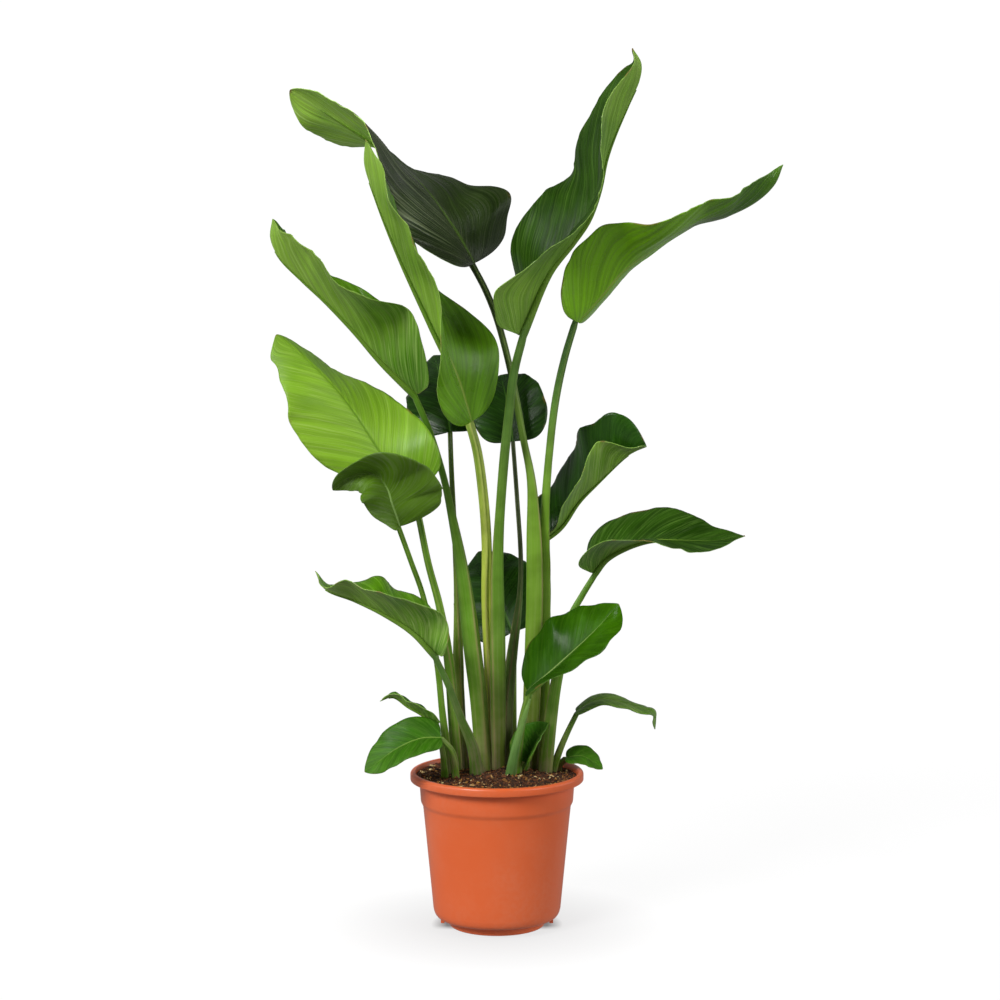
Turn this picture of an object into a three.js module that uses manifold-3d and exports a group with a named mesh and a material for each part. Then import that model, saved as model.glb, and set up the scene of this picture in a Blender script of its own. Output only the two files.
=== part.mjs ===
// Potted bird of paradise: paddle leaves on long stalks and one rolled new leaf,
// standing in bark soil in a round nursery pot.
// Millimetres, +Z up. The plant's front is -Y. The origin is the middle of the pot's foot.

import * as THREE from 'three';
import { mergeVertices } from 'three/addons/utils/BufferGeometryUtils.js';
import Module from 'manifold-3d';

// The nursery pot
const POT_HEIGHT = 217;
const RIM_RADIUS = 120;
const RIM_HEIGHT = 12;
const RIM_ROUND = 4;
const OPENING_RADIUS = 112.5;
const OPENING_BEVEL = 2;
const COLLAR_TOP_RADIUS = 107.5;
const COLLAR_LOW_RADIUS = 105.5;
const COLLAR_FOOT = 173;
const COLLAR_STEP = 2;
const BODY_TOP_RADIUS = 102.5;
const BODY_LOW_RADIUS = 88.5;
const BODY_LOW = 25;
const BEND_RADIUS = 87;
const BEND_HEIGHT = 18;
const CORNER_RADIUS = 79.5;
const FLOOR_LEVEL = 12.5;
const FOOT_RADIUS = 66;
const EDGE_BREAK = 1;
const WALL = 2.5;
const FLOOR_THICKNESS = 3;
const POT_SEGMENTS = 48;
const DRAIN_COUNT = 8;
const DRAIN_RADIUS = 4;
const DRAIN_SIDES = 12;
const DRAIN_OVERRUN = 5;
const DRAIN_CIRCLE = 70;
const CENTRE_DRAIN_COUNT = 4;
const CENTRE_DRAIN_CIRCLE = 38;
const LEG_INNER = 74.5;
const LEG_OUTER = 78;
const LEG_CLEARANCE = 1;
const LEG_START = 89;
const LEG_SWEEP = 50;
const LEG_STEPS = 5;

// The soil
const SOIL_EDGE = 208;
const SOIL_BACK_DIP = 7;
const SOIL_DIP_WAY = [0.55, 0.8];
const SOIL_MOUND = 11;
const SOIL_LUMP = 2.2;
const SOIL_WAVES = [[9, 4], [-3, 8], [17, -11]];
const SOIL_SEGMENTS = 48;
const SOIL_RINGS = 7;
const SOIL_SLACK = 0.1;
const SOIL_INSET = 0.6;
const SOIL_STEP = 1;
const STALK_FOOT = 150;

// What every leaf shares
const BLADE_THICKNESS = 1.4;
const BLADE_ROWS = 14;
const BLADE_COLUMNS = 3;
const SMALL_BLADE_ROWS = 10;
const SMALL_BLADE_COLUMNS = 2;
const SMALL_BLADE = 40;
const EDGE_MINIMUM = 1.2;
const LOBE_PLACE = 0.05;
const WAVE_SHIFT = 2;
const VEIN_STEPS = 6;
const STALK_SIDES = 6;
const STALK_RINGS = 11;
const STALK_DEPTH = 5;
const STALK_GREEN = 0x6d9440;
const RIB_END = 0.62;
const RIB_TIP_RADIUS = 1;
const RIB_TUCK = 0.2;
const RIB_ROOM = 0.5;
const SKIN_GAP = 0.3;
const HOLE_GAP = 0.45;

// Leaf numbers are in millimetres and degrees. A stalk runs from inside the soil to the
// blade, and a midrib from the blade's base to its tip. width is half the blade's width.
// right and left say how the two halves lean at even steps along the midrib: 0 spreads a
// half flat across the front, 90 points it forwards, -90 backwards, and past 90 it is
// folded over so that its underside shows.
const LEAVES = [
  {
    name: 'leaf_01', width: 90, fullness: 0.26, lobe: 0.01,
    stalkWidth: 9, stalkTop: 5, green: 0x2a4a1e, stalkGreen: 0x4a6530,
    stalk: [[45, 14, 205], [48, -3, 317], [52, -6, 456], [52, -4, 539], [48, 2, 619],
      [36, 18, 680], [19, 36, 769], [0, 54, 840], [-16, 62, 880]],
    midrib: [[-31, 66, 916], [-62, 68, 968], [-100, 68, 1020], [-134, 66, 1051],
      [-166, 66, 1077], [-226, 62, 1116], [-284, 60, 1152]],
    right: [-45, -26, -72, -90, -92, -112, -126, -140, -140],
    left: [70, 52, 48, 62, 90, 104, 110, 115, 120],
  },
  {
    name: 'leaf_02', width: 82, lobe: 0,
    stalkWidth: 6, stalkTop: 6, green: 0x4f7a2c, stalkGreen: 0x8fae3a,
    stalk: [[-6, 24, 205], [-8, 8, 315], [-14, -6, 457], [-14, -14, 534], [-18, -18, 596],
      [-27, -20, 664]],
    midrib: [[-34, -22, 704], [-55, -34, 770], [-87, -50, 838], [-129, -72, 928],
      [-159, -90, 1002], [-174, -98, 1049], [-172, -102, 1081]],
    right: [-40, -44, -62, -76, -73, -70, -69, -65, -60],
    left: [55, 65, 95, 119, 120, 114, 115, 149, 170],
  },
  {
    name: 'leaf_03', width: 58, stalkWidth: 8, stalkTop: 3.5, green: 0x1f3a18,
    stalk: [[-47, 16, 205], [-53, 22, 315], [-55, 44, 454], [-59, 62, 537], [-64, 80, 634]],
    midrib: [[-66, 92, 680], [-72, 124, 722], [-82, 172, 755], [-92, 228, 780]],
    right: [-10, -10, -10, -10], left: [-10, -10, -10, -10],
  },
  {
    name: 'leaf_04', width: 86, stalkWidth: 7, stalkTop: 5.5, green: 0x3f6a22,
    stalk: [[2, 6, 205], [1, -12, 319], [0, -16, 430], [0, -18, 513], [8, -22, 637],
      [15, -24, 706], [23, -26, 771]],
    midrib: [[31, -28, 821], [68, -25, 905], [100, -22, 945], [122, -20, 976],
      [137, -20, 1016], [146, -20, 1056], [158, -20, 1089], [176, -20, 1129],
      [192, -20, 1173], [179, -25, 1204]],
    right: [140, 115, 106, 95, 90, 99, 110, 128, 124],
    left: [-85, -73, -32, -36, -58, -54, -44, -20, 15],
  },
  {
    name: 'leaf_05', width: 76, stalkWidth: 8, stalkTop: 4.5, green: 0x4f8020,
    stalk: [[61, 26, 205], [64, 14, 315], [65, 10, 454], [66, 10, 565], [73, 12, 662],
      [81, 14, 731], [93, 16, 788]],
    midrib: [[111, 18, 836], [143, 12, 872], [171, 6, 905], [214, 0, 937],
      [264, -2, 968], [312, -4, 989], [356, -2, 1015], [387, 2, 1050]],
    right: [-80, -84, -86, -88, -90, -95, -110, -130, -150],
    left: [55, 20, 30, 63, 76, 62, 60, 92, 110],
  },
  {
    name: 'leaf_06', width: 85, leftShare: 0.82, stalkWidth: 7, stalkTop: 4.5, green: 0x86ac30,
    stalk: [[-55, 2, 205], [-60, -16, 306], [-66, -28, 377], [-78, -42, 453],
      [-93, -51, 513], [-104, -54, 569]],
    midrib: [[-112, -54, 609], [-154, -54, 660], [-182, -54, 703], [-212, -52, 744],
      [-251, -49, 784], [-290, -46, 821]],
    right: [0, 0, -29, -52, -72, -82, -84, -80, -75],
    left: [15, 15, 15, 15, 20, 25, 25, 10, 0],
  },
  {
    name: 'leaf_07', width: 72, stalkWidth: 11, stalkTop: 5, green: 0x5c8a35,
    stalk: [[-18, 6, 205], [-25, -10, 319], [-33, -10, 388], [-41, -4, 456],
      [-49, 2, 511], [-61, 10, 571], [-73, 16, 625], [-92, 20, 687]],
    midrib: [[-109, 18, 738], [-155, 10, 783], [-193, 4, 826], [-232, -2, 866],
      [-263, -6, 894], [-297, -10, 924], [-308, -12, 951], [-299, -12, 977]],
    right: [-60, -35, -28, -38, -66, -66, -60, -50, -50],
    left: [130, 139, 150, 124, 118, 122, 138, 150, 150],
  },
  {
    name: 'leaf_08', width: 54,
    stalkWidth: 8, stalkTop: 3, green: 0x22361f, stalkGreen: 0x5f7d50,
    stalk: [[12, 24, 205], [15, 12, 315], [22, 14, 384], [31, 22, 452], [33, 28, 507],
      [28, 36, 590]],
    midrib: [[22, 42, 671], [19, 56, 698], [12, 82, 732], [5, 122, 758]],
    right: [0, 10, 10, 10], left: [0, 10, 10, 10],
  },
  {
    name: 'leaf_09', width: 72, leftShare: 0.5, sweep: 0.02, lobe: 0,
    stalkWidth: 6, stalkTop: 3.5, green: 0x2f5218,
    stalk: [[-65, -8, 205], [-74, -26, 301], [-82, -34, 376], [-100, -46, 467],
      [-116, -66, 518]],
    midrib: [[-130, -84, 567], [-140, -94, 598], [-147, -97, 621], [-160, -97, 637],
      [-184, -95, 639], [-204, -93, 630], [-219, -91, 617]],
    right: [0, 5, 5, 20, 50, 72, 74, 65, 60],
    left: [80, 48, 40, 50, 50, 40, 30, 10, 0],
  },
  {
    name: 'leaf_10', width: 64,
    stalkWidth: 9, stalkTop: 5, green: 0x46761f, stalkGreen: 0x647f4c,
    stalk: [[-27, -20, 205], [-33, -46, 258], [-48, -74, 304], [-64, -102, 354]],
    midrib: [[-79, -118, 400], [-111, -124, 433], [-151, -124, 457], [-188, -120, 473],
      [-230, -114, 488], [-242, -107, 510]],
    right: [-80, -60, -60, -62, -56, -70, -80, -80, -80],
    left: [100, 138, 132, 120, 118, 122, 108, 105, 100],
  },
  {
    name: 'leaf_11', width: 74, point: 0.55, stalkWidth: 6, stalkTop: 4.5, green: 0x21400f,
    stalk: [[51, 42, 205], [54, 46, 310], [58, 62, 420]],
    midrib: [[61, 80, 528], [87, 80, 548], [113, 78, 584], [138, 74, 609], [167, 70, 640],
      [193, 66, 670], [202, 64, 704]],
    right: [100, 100, 105, 108, 112, 130, 140, 130, 120],
    left: [0, -30, -54, -54, -38, -18, -5, 0, 0],
  },
  {
    name: 'leaf_12', width: 66, stalkWidth: 8, stalkTop: 4.5, green: 0x2f5a1c,
    stalk: [[65, 2, 205], [77, -8, 318], [83, -8, 353], [100, -6, 431], [117, -3, 463]],
    midrib: [[131, 0, 493], [148, -2, 514], [176, -6, 530], [210, -10, 540],
      [250, -12, 540], [299, -10, 539], [340, -5, 545]],
    right: [130, 120, 105, 95, 80, 77, 76, 85, 90],
    left: [-75, -60, -58, -56, -45, -51, -55, -20, 0],
  },
  {
    name: 'leaf_13', width: 62, stalkWidth: 7, stalkTop: 5, green: 0x2c5414,
    stalk: [[26, -14, 205], [32, -36, 282]],
    midrib: [[41, -46, 338], [65, -50, 358], [90, -54, 381], [137, -60, 427],
      [165, -62, 459]],
    right: [90, 94, 88, 82, 75, 72, 65, 38, 0],
    left: [-60, -45, -40, -36, -42, -45, -48, -54, -60],
  },
  {
    name: 'leaf_14', width: 64, stalkWidth: 6, stalkTop: 4.5, green: 0x26401c,
    stalk: [[21, 46, 205], [22, 54, 308]],
    midrib: [[22, 74, 399], [12, 98, 430], [-3, 140, 468], [-17, 192, 498]],
    right: [-10, -10, -10, -10], left: [-10, -10, -10, -10],
  },
  {
    name: 'leaf_15', width: 26, stalkWidth: 6, stalkTop: 3, green: 0x4f7a2c,
    stalk: [[76, 20, 205], [85, 10, 239], [97, 5, 269]],
    midrib: [[109, 3, 300], [129, 0, 313], [148, -3, 318], [170, -6, 314], [197, -8, 306],
      [214, -9, 300], [218, -10, 277]],
    right: [75, 80, 80, 65], left: [-85, -86, -86, -75],
  },
  {
    name: 'leaf_16', width: 20, stalkWidth: 4, stalkTop: 2.5, green: 0x3f6a22,
    stalk: [[84, 32, 205], [88, 28, 220]],
    midrib: [[96, 24, 231], [120, 20, 233], [147, 14, 216]],
    right: [70, 66, 66], left: [-55, -55, -60],
  },
  {
    name: 'leaf_17', width: 22, stalkWidth: 4, stalkTop: 2.5, green: 0x3a5f24,
    stalk: [[-71, -26, 205], [-76, -42, 263]],
    midrib: [[-83, -48, 291], [-102, -52, 307], [-120, -54, 317], [-141, -54, 330],
      [-159, -52, 324]],
    right: [-75, -75, -70], left: [130, 120, 120],
  },
  {
    name: 'leaf_18', width: 33, stalkWidth: 5, stalkTop: 3, green: 0x2f6420,
    stalk: [[-55, -38, 205], [-61, -58, 255]],
    midrib: [[-76, -66, 277], [-102, -72, 277], [-132, -78, 266], [-179, -80, 232]],
    right: [-30, -30, -35, -30], left: [60, 62, 55, 30],
  },
  {
    name: 'leaf_19', width: 34, stalkWidth: 3.5, stalkTop: 3, green: 0x2f5418,
    stalk: [[38, -2, 205], [38, -6, 220]],
    midrib: [[40, -10, 230], [53, -12, 256], [70, -14, 287]],
    right: [95, 95, 95], left: [5, -5, -5],
  },
];

// The rolled new leaf, its radii at even steps from inside the soil to its tip
const NEW_LEAF = {
  line: [[19, -24, 150], [18, -30, 205], [22, -44, 240], [30, -54, 278], [45, -57, 328]],
  radii: [8, 8.5, 8.5, 8, 7.5, 7, 6.2, 5.6, 5, 4.2, 3, 1.2],
  depth: 0.7,
};

// What a blade is like unless its own entry says otherwise. fullness and point set how
// round the base and how slim the tip is. lobe draws the base's sides back and sweep draws
// the margins ahead, both as shares of the length. curl is how many degrees a half bends
// from its middle to its margin, ripple the height of the margin's waves in millimetres.
const SHAPE = {
  fullness: 0.36,
  point: 0.8,
  lobe: 0.03,
  sweep: 0.1,
  curl: -12,
  ripple: 2.5,
  waves: 4,
  leftShare: 1,
  stalkGreen: STALK_GREEN,
};

const FRONT = new THREE.Vector3(0, -1, 0);
const wasm = await Module();
wasm.setup();

// A closed triangle mesh as a solid
function toSolid(geometry) {
  const bare = geometry.clone();
  for (const name of Object.keys(bare.attributes)) {
    if (name !== 'position') bare.deleteAttribute(name);
  }
  const merged = mergeVertices(bare, 1e-4);
  return new wasm.Manifold(new wasm.Mesh({
    numProp: 3,
    vertProperties: new Float32Array(merged.attributes.position.array),
    triVerts: new Uint32Array(merged.index.array),
  }));
}

// A solid as a geometry
function toGeometry(solid) {
  const mesh = solid.getMesh();
  const geometry = new THREE.BufferGeometry();
  geometry.setAttribute('position', new THREE.BufferAttribute(mesh.vertProperties, 3));
  geometry.setIndex(new THREE.BufferAttribute(mesh.triVerts, 1));
  return geometry;
}

// A smooth curve through points given as [x, y, z]
function through(points) {
  return new THREE.CatmullRomCurve3(points.map((p) => new THREE.Vector3(...p)), false, 'centripetal');
}

// A value read smoothly off an evenly spaced list, at t from 0 to 1
function along(values, t) {
  const place = t * (values.length - 1);
  const i = Math.min(Math.floor(place), values.length - 2);
  const f = place - i;
  const a = values[Math.max(i - 1, 0)];
  const b = values[i];
  const c = values[i + 1];
  const d = values[Math.min(i + 2, values.length - 1)];
  const slopeStart = (c - a) / 2;
  const slopeEnd = (d - b) / 2;
  const f2 = f * f;
  const f3 = f2 * f;
  return (2 * f3 - 3 * f2 + 1) * b + (f3 - 2 * f2 + f) * slopeStart
    + (3 * f2 - 2 * f3) * c + (f3 - f2) * slopeEnd;
}

// The directions across and to the front of a line that runs along forward
function frame(forward) {
  const across = new THREE.Vector3().crossVectors(forward, FRONT).normalize();
  const front = new THREE.Vector3().crossVectors(across, forward).normalize();
  return { forward, across, front };
}

// One leaf's blade as a surface: where each point of it lies
class Blade {
  constructor(leaf) {
    Object.assign(this, SHAPE, leaf);
    this.line = through(leaf.midrib);
    this.length = this.line.getLength();
    this.widest = this.fullness / (this.fullness + this.point);
  }

  // Half the width at t, widest a third of the way up, round at the base and pointed
  reach(t) {
    const rise = (t / this.widest) ** this.fullness;
    const fall = ((1 - t) / (1 - this.widest)) ** this.point;
    return Math.max(this.width * rise * fall, EDGE_MINIMUM);
  }

  // How far a vein's end lies ahead of its root
  lead(t) {
    const back = t / LOBE_PLACE * Math.exp(1 - t / LOBE_PLACE);
    return this.length * (this.sweep * Math.sin(Math.PI * t) - this.lobe * back);
  }

  // The middle line's place, its directions and the halves' lean at t
  station(t) {
    const axes = frame(this.line.getTangentAt(t));
    const right = THREE.MathUtils.degToRad(along(this.right, t));
    const left = THREE.MathUtils.degToRad(along(this.left, t));
    const turn = (left - right) / 2;
    const up = axes.front.clone().multiplyScalar(Math.cos(turn))
      .addScaledVector(axes.across, Math.sin(turn));
    return { ...axes, right, left, up, fold: (left + right) / 2, at: this.line.getPointAt(t) };
  }

  // The point at t along the midrib and u across, from -1 at the left edge to 1
  point3(t, u) {
    const s = this.station(t);
    const side = u < 0 ? -1 : 1;
    const lean = u < 0 ? s.left : s.right;
    const bend = THREE.MathUtils.degToRad(this.curl);
    const span = Math.abs(u);
    const reach = this.reach(t) * (u < 0 ? this.leftShare : 1);
    const point = s.at.clone().addScaledVector(s.forward, this.lead(t) * span);
    for (let k = 0; k < VEIN_STEPS; k += 1) {
      const v = span * (k + 0.5) / VEIN_STEPS;
      const angle = lean + bend * (2 * v - 1);
      const step = reach * span / VEIN_STEPS;
      point.addScaledVector(s.across, side * Math.cos(angle) * step);
      point.addScaledVector(s.front, Math.sin(angle) * step);
    }
    const wave = Math.sin(2 * Math.PI * this.waves * t + WAVE_SHIFT * side);
    const height = this.ripple * span * span * wave * Math.sin(Math.PI * t);
    return point.addScaledVector(s.up, height);
  }

  // Even steps from base to tip, closer together at both ends
  rows() {
    const count = this.width < SMALL_BLADE ? SMALL_BLADE_ROWS : BLADE_ROWS;
    return Array.from({ length: count + 1 }, (_, i) => (1 - Math.cos(Math.PI * i / count)) / 2);
  }

  // The blade as a thin closed slab, split into triangles alike on both faces
  geometry() {
    const rows = this.rows();
    const columns = this.width < SMALL_BLADE ? SMALL_BLADE_COLUMNS : BLADE_COLUMNS;
    const count = 2 * columns + 1;
    const grid = rows.map((t) => Array.from({ length: count },
      (_, j) => this.point3(t, (j - columns) / columns)));
    const top = [];
    const bottom = [];
    grid.forEach((row, i) => row.forEach((point, j) => {
      const ahead = grid[Math.min(i + 1, rows.length - 1)][j];
      const behind = grid[Math.max(i - 1, 0)][j];
      const across = row[Math.min(j + 1, count - 1)].clone().sub(row[Math.max(j - 1, 0)]);
      const normal = across.cross(ahead.clone().sub(behind)).normalize();
      top.push(point.clone().addScaledVector(normal, BLADE_THICKNESS / 2));
      bottom.push(point.clone().addScaledVector(normal, -BLADE_THICKNESS / 2));
    }));
    return slab(top, bottom, rows.length, count);
  }

  // The stalk's rings: from the soil to the blade, and on as a rib under the blade
  rings(extra) {
    const rings = [];
    const rib = (t, radius) => {
      const s = this.station(t);
      const room = Math.max(Math.cos(Math.min(s.fold - RIB_TUCK, 0)), RIB_ROOM);
      const drop = (radius + BLADE_THICKNESS / 2 + SKIN_GAP) / room;
      return { ...s, at: s.at.clone().addScaledVector(s.up, -drop), wide: radius, deep: radius };
    };
    const start = rib(0, this.stalkTop);
    const [x, y] = this.stalk[0];
    const stalk = through([[x, y, STALK_FOOT], ...this.stalk, start.at.toArray()]);
    for (let i = 0; i < STALK_RINGS; i += 1) {
      const t = i / STALK_RINGS;
      const fade = (1 - t) ** 2;
      const round = this.stalkTop;
      rings.push({
        ...frame(stalk.getTangentAt(t)),
        at: stalk.getPointAt(t),
        wide: round + (this.stalkWidth - round) * fade,
        deep: round + (Math.min(this.stalkWidth, STALK_DEPTH) - round) * fade,
      });
    }
    for (const t of this.rows().filter((row) => row < RIB_END)) {
      rings.push(rib(t, THREE.MathUtils.lerp(this.stalkTop, RIB_TIP_RADIUS, t / RIB_END)));
    }
    return rings.map((ring) => ({ ...ring, wide: ring.wide + extra, deep: ring.deep + extra }));
  }
}

// A closed slab from a grid of upper and lower points
function slab(top, bottom, rowCount, columnCount) {
  const points = [...top, ...bottom];
  const low = top.length;
  const index = [];
  const at = (i, j) => i * columnCount + j;
  for (let i = 0; i < rowCount - 1; i += 1) {
    for (let j = 0; j < columnCount - 1; j += 1) {
      const a = at(i, j);
      const b = at(i, j + 1);
      const c = at(i + 1, j + 1);
      const d = at(i + 1, j);
      index.push(a, b, c, a, c, d);
      index.push(low + a, low + c, low + b, low + a, low + d, low + c);
    }
  }
  const wall = (a, b) => index.push(a, low + a, low + b, a, low + b, b);
  for (let j = 0; j < columnCount - 1; j += 1) {
    wall(at(0, j), at(0, j + 1));
    wall(at(rowCount - 1, j + 1), at(rowCount - 1, j));
  }
  for (let i = 0; i < rowCount - 1; i += 1) {
    wall(at(i + 1, 0), at(i, 0));
    wall(at(i, columnCount - 1), at(i + 1, columnCount - 1));
  }
  const geometry = new THREE.BufferGeometry().setFromPoints(points);
  geometry.setIndex(index);
  return geometry;
}

// A straight prism bent so that its rings lie on the given ones
function bentPrism(rings, sides) {
  const corners = Array.from({ length: sides }, (_, k) => {
    const angle = 2 * Math.PI * (k + 0.5) / sides;
    return new THREE.Vector2(Math.cos(angle), Math.sin(angle));
  });
  const last = rings.length - 1;
  const prism = new THREE.ExtrudeGeometry(new THREE.Shape(corners),
    { depth: last, steps: last, bevelEnabled: false });
  const place = prism.attributes.position;
  for (let i = 0; i < place.count; i += 1) {
    const ring = rings[Math.round(place.getZ(i))];
    const point = ring.at.clone()
      .addScaledVector(ring.front, place.getX(i) * ring.deep)
      .addScaledVector(ring.across, place.getY(i) * ring.wide);
    place.setXYZ(i, point.x, point.y, point.z);
  }
  prism.deleteAttribute('normal');
  prism.deleteAttribute('uv');
  return mergeVertices(prism, 1e-4);
}

// The rolled new leaf: a tapering spear that stands in the soil like a stalk
function newLeafRings(extra) {
  const line = through(NEW_LEAF.line);
  return NEW_LEAF.radii.map((radius, i) => {
    const t = i / (NEW_LEAF.radii.length - 1);
    return {
      ...frame(line.getTangentAt(t)),
      at: line.getPointAt(t),
      wide: radius + extra,
      deep: radius * NEW_LEAF.depth + extra,
    };
  });
}

function material(color, roughness) {
  return new THREE.MeshStandardMaterial({ color, roughness, metalness: 0 });
}

function named(name, geometry, finish) {
  const mesh = new THREE.Mesh(geometry, finish);
  mesh.name = name;
  return mesh;
}

// The pot's wall, lip and floor, turned about its axis
function potBody() {
  const rimFoot = POT_HEIGHT - RIM_HEIGHT;
  const rimRound = [0, 30, 60, 90].map((degrees) => {
    const angle = THREE.MathUtils.degToRad(degrees);
    return [
      RIM_RADIUS - RIM_ROUND * (1 - Math.cos(angle)),
      POT_HEIGHT - RIM_ROUND * (1 - Math.sin(angle)),
    ];
  });
  const outline = [
    [0, 0],
    [FOOT_RADIUS - EDGE_BREAK, 0],
    [FOOT_RADIUS, EDGE_BREAK],
    [FOOT_RADIUS, FLOOR_LEVEL],
    [CORNER_RADIUS, FLOOR_LEVEL],
    [BEND_RADIUS, BEND_HEIGHT],
    [BODY_LOW_RADIUS, BODY_LOW],
    [BODY_TOP_RADIUS, COLLAR_FOOT - COLLAR_STEP],
    [COLLAR_LOW_RADIUS, COLLAR_FOOT],
    [COLLAR_TOP_RADIUS, rimFoot],
    [RIM_RADIUS - EDGE_BREAK, rimFoot],
    [RIM_RADIUS, rimFoot + EDGE_BREAK],
    ...rimRound,
    [OPENING_RADIUS, POT_HEIGHT - OPENING_BEVEL],
    [COLLAR_TOP_RADIUS - WALL, rimFoot - OPENING_BEVEL],
    [COLLAR_LOW_RADIUS - WALL, COLLAR_FOOT],
    [BODY_TOP_RADIUS - WALL, COLLAR_FOOT - COLLAR_STEP],
    [BODY_LOW_RADIUS - WALL, BODY_LOW],
    [CORNER_RADIUS - WALL, FLOOR_LEVEL + FLOOR_THICKNESS],
    [0, FLOOR_LEVEL + FLOOR_THICKNESS],
  ].map(([r, z]) => new THREE.Vector2(r, z));
  const turned = new THREE.LatheGeometry(outline, POT_SEGMENTS);
  turned.rotateX(Math.PI / 2);
  return toSolid(turned);
}

// The room of one drain hole through the floor
function drain(x, y) {
  const floor = FLOOR_LEVEL + FLOOR_THICKNESS;
  const depth = floor + 2 * DRAIN_OVERRUN;
  const cylinder = new THREE.CylinderGeometry(DRAIN_RADIUS, DRAIN_RADIUS, depth, DRAIN_SIDES);
  cylinder.rotateX(Math.PI / 2);
  cylinder.translate(x, y, floor / 2);
  return toSolid(cylinder);
}

// A short curved leg under the pot's corner, on the right for 1 and on the left for -1
function leg(side) {
  const arc = (radius, k) => {
    const angle = THREE.MathUtils.degToRad(LEG_START + LEG_SWEEP * k / LEG_STEPS);
    return new THREE.Vector2(side * radius * Math.sin(angle), -radius * Math.cos(angle));
  };
  const outer = Array.from({ length: LEG_STEPS + 1 }, (_, k) => arc(LEG_OUTER, k));
  const inner = Array.from({ length: LEG_STEPS + 1 }, (_, k) => arc(LEG_INNER, LEG_STEPS - k));
  const depth = FLOOR_LEVEL + FLOOR_THICKNESS / 2 - LEG_CLEARANCE;
  const extruded = new THREE.ExtrudeGeometry(new THREE.Shape([...outer, ...inner]),
    { depth, steps: 1, bevelEnabled: false });
  extruded.translate(0, 0, LEG_CLEARANCE);
  return toSolid(extruded);
}

function pot() {
  let solid = potBody().add(leg(1)).add(leg(-1));
  const drill = (count, circle) => {
    for (let k = 0; k < count; k += 1) {
      const angle = 2 * Math.PI * (k + 0.5) / count;
      solid = solid.subtract(drain(circle * Math.cos(angle), circle * Math.sin(angle)));
    }
  };
  drill(DRAIN_COUNT, DRAIN_CIRCLE);
  drill(CENTRE_DRAIN_COUNT, CENTRE_DRAIN_CIRCLE);
  return solid;
}

// The soil's height: mounded in the middle, lower at the back right, and lumpy
function soilTop(x, y, r) {
  const rise = SOIL_MOUND * (1 - r * r);
  const [dipX, dipY] = SOIL_DIP_WAY;
  const dip = SOIL_BACK_DIP * Math.max(0, dipX * x + dipY * y) ** 2 * r;
  const [a, b, c] = SOIL_WAVES.map(([p, q]) => p * x + q * y);
  const lump = SOIL_LUMP * (Math.sin(a) * Math.cos(b) + Math.sin(c) / 2);
  return SOIL_EDGE + rise - dip + lump * (1 - r ** 6);
}

function soil(stalks) {
  const gap = WALL + SKIN_GAP + SOIL_SLACK;
  const edge = COLLAR_TOP_RADIUS - gap - SOIL_INSET;
  const floor = FLOOR_LEVEL + FLOOR_THICKNESS + SKIN_GAP;
  const rows = [];
  for (let i = 0; i <= SOIL_RINGS; i += 1) {
    const r = i / SOIL_RINGS;
    rows.push((x, y) => [r * edge * x, r * edge * y, soilTop(r * x, r * y, r)]);
  }
  const wall = [
    [COLLAR_LOW_RADIUS - gap - SOIL_INSET, COLLAR_FOOT + SOIL_STEP],
    [BODY_TOP_RADIUS - gap, COLLAR_FOOT - COLLAR_STEP],
    [BODY_LOW_RADIUS - gap, BODY_LOW],
    [CORNER_RADIUS - gap, floor],
  ];
  for (const [radius, z] of wall) rows.push((x, y) => [radius * x, radius * y, z]);
  const points = [new THREE.Vector3(0, 0, soilTop(0, 0, 0))];
  for (const row of rows.slice(1)) {
    for (let k = 0; k < SOIL_SEGMENTS; k += 1) {
      const angle = 2 * Math.PI * k / SOIL_SEGMENTS;
      points.push(new THREE.Vector3(...row(Math.cos(angle), Math.sin(angle))));
    }
  }
  points.push(new THREE.Vector3(0, 0, floor));
  const index = [];
  const at = (i, k) => 1 + i * SOIL_SEGMENTS + k % SOIL_SEGMENTS;
  const last = rows.length - 2;
  for (let k = 0; k < SOIL_SEGMENTS; k += 1) {
    index.push(0, at(0, k), at(0, k + 1));
    for (let i = 0; i < last; i += 1) {
      index.push(at(i, k), at(i + 1, k), at(i + 1, k + 1));
      index.push(at(i, k), at(i + 1, k + 1), at(i, k + 1));
    }
    index.push(points.length - 1, at(last, k + 1), at(last, k));
  }
  const mound = new THREE.BufferGeometry().setFromPoints(points);
  mound.setIndex(index);
  return stalks.reduce((solid, hole) => solid.subtract(hole), toSolid(mound));
}

// The room that a stalk takes up in the soil
function hole(rings) {
  rings[0].at.z -= HOLE_GAP;
  return toSolid(bentPrism(rings, STALK_SIDES));
}

const plant = new THREE.Group();
const holes = [];

for (const leaf of LEAVES) {
  const blade = new Blade(leaf);
  const stalk = bentPrism(blade.rings(0), STALK_SIDES);
  plant.add(named(`${leaf.name}_blade`, blade.geometry(), material(blade.green, 0.5)));
  plant.add(named(`${leaf.name}_stalk`, stalk, material(blade.stalkGreen, 0.55)));
  holes.push(hole(blade.rings(HOLE_GAP)));
}

plant.add(named('new_leaf', bentPrism(newLeafRings(0), STALK_SIDES), material(0x6f9a4a, 0.5)));
holes.push(hole(newLeafRings(HOLE_GAP)));
plant.add(named('pot', toGeometry(pot()), material(0xd0603a, 0.45)));
plant.add(named('soil', toGeometry(soil(holes)), material(0x3a2418, 0.95)));

export default plant;
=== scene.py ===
"""Looks for a potted bird of paradise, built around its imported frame.

The plant's numbers are in millimetres and degrees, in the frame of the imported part: +Z up,
-Y the plant's front, the origin in the middle of the pot's foot. Meshes are made in metres.
"""

from __future__ import annotations

import logging
import math
import random
from collections.abc import Callable, Sequence
from dataclasses import dataclass, field
from enum import Enum

import bpy
import numpy as np
from mathutils import Euler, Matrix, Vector, noise

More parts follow.
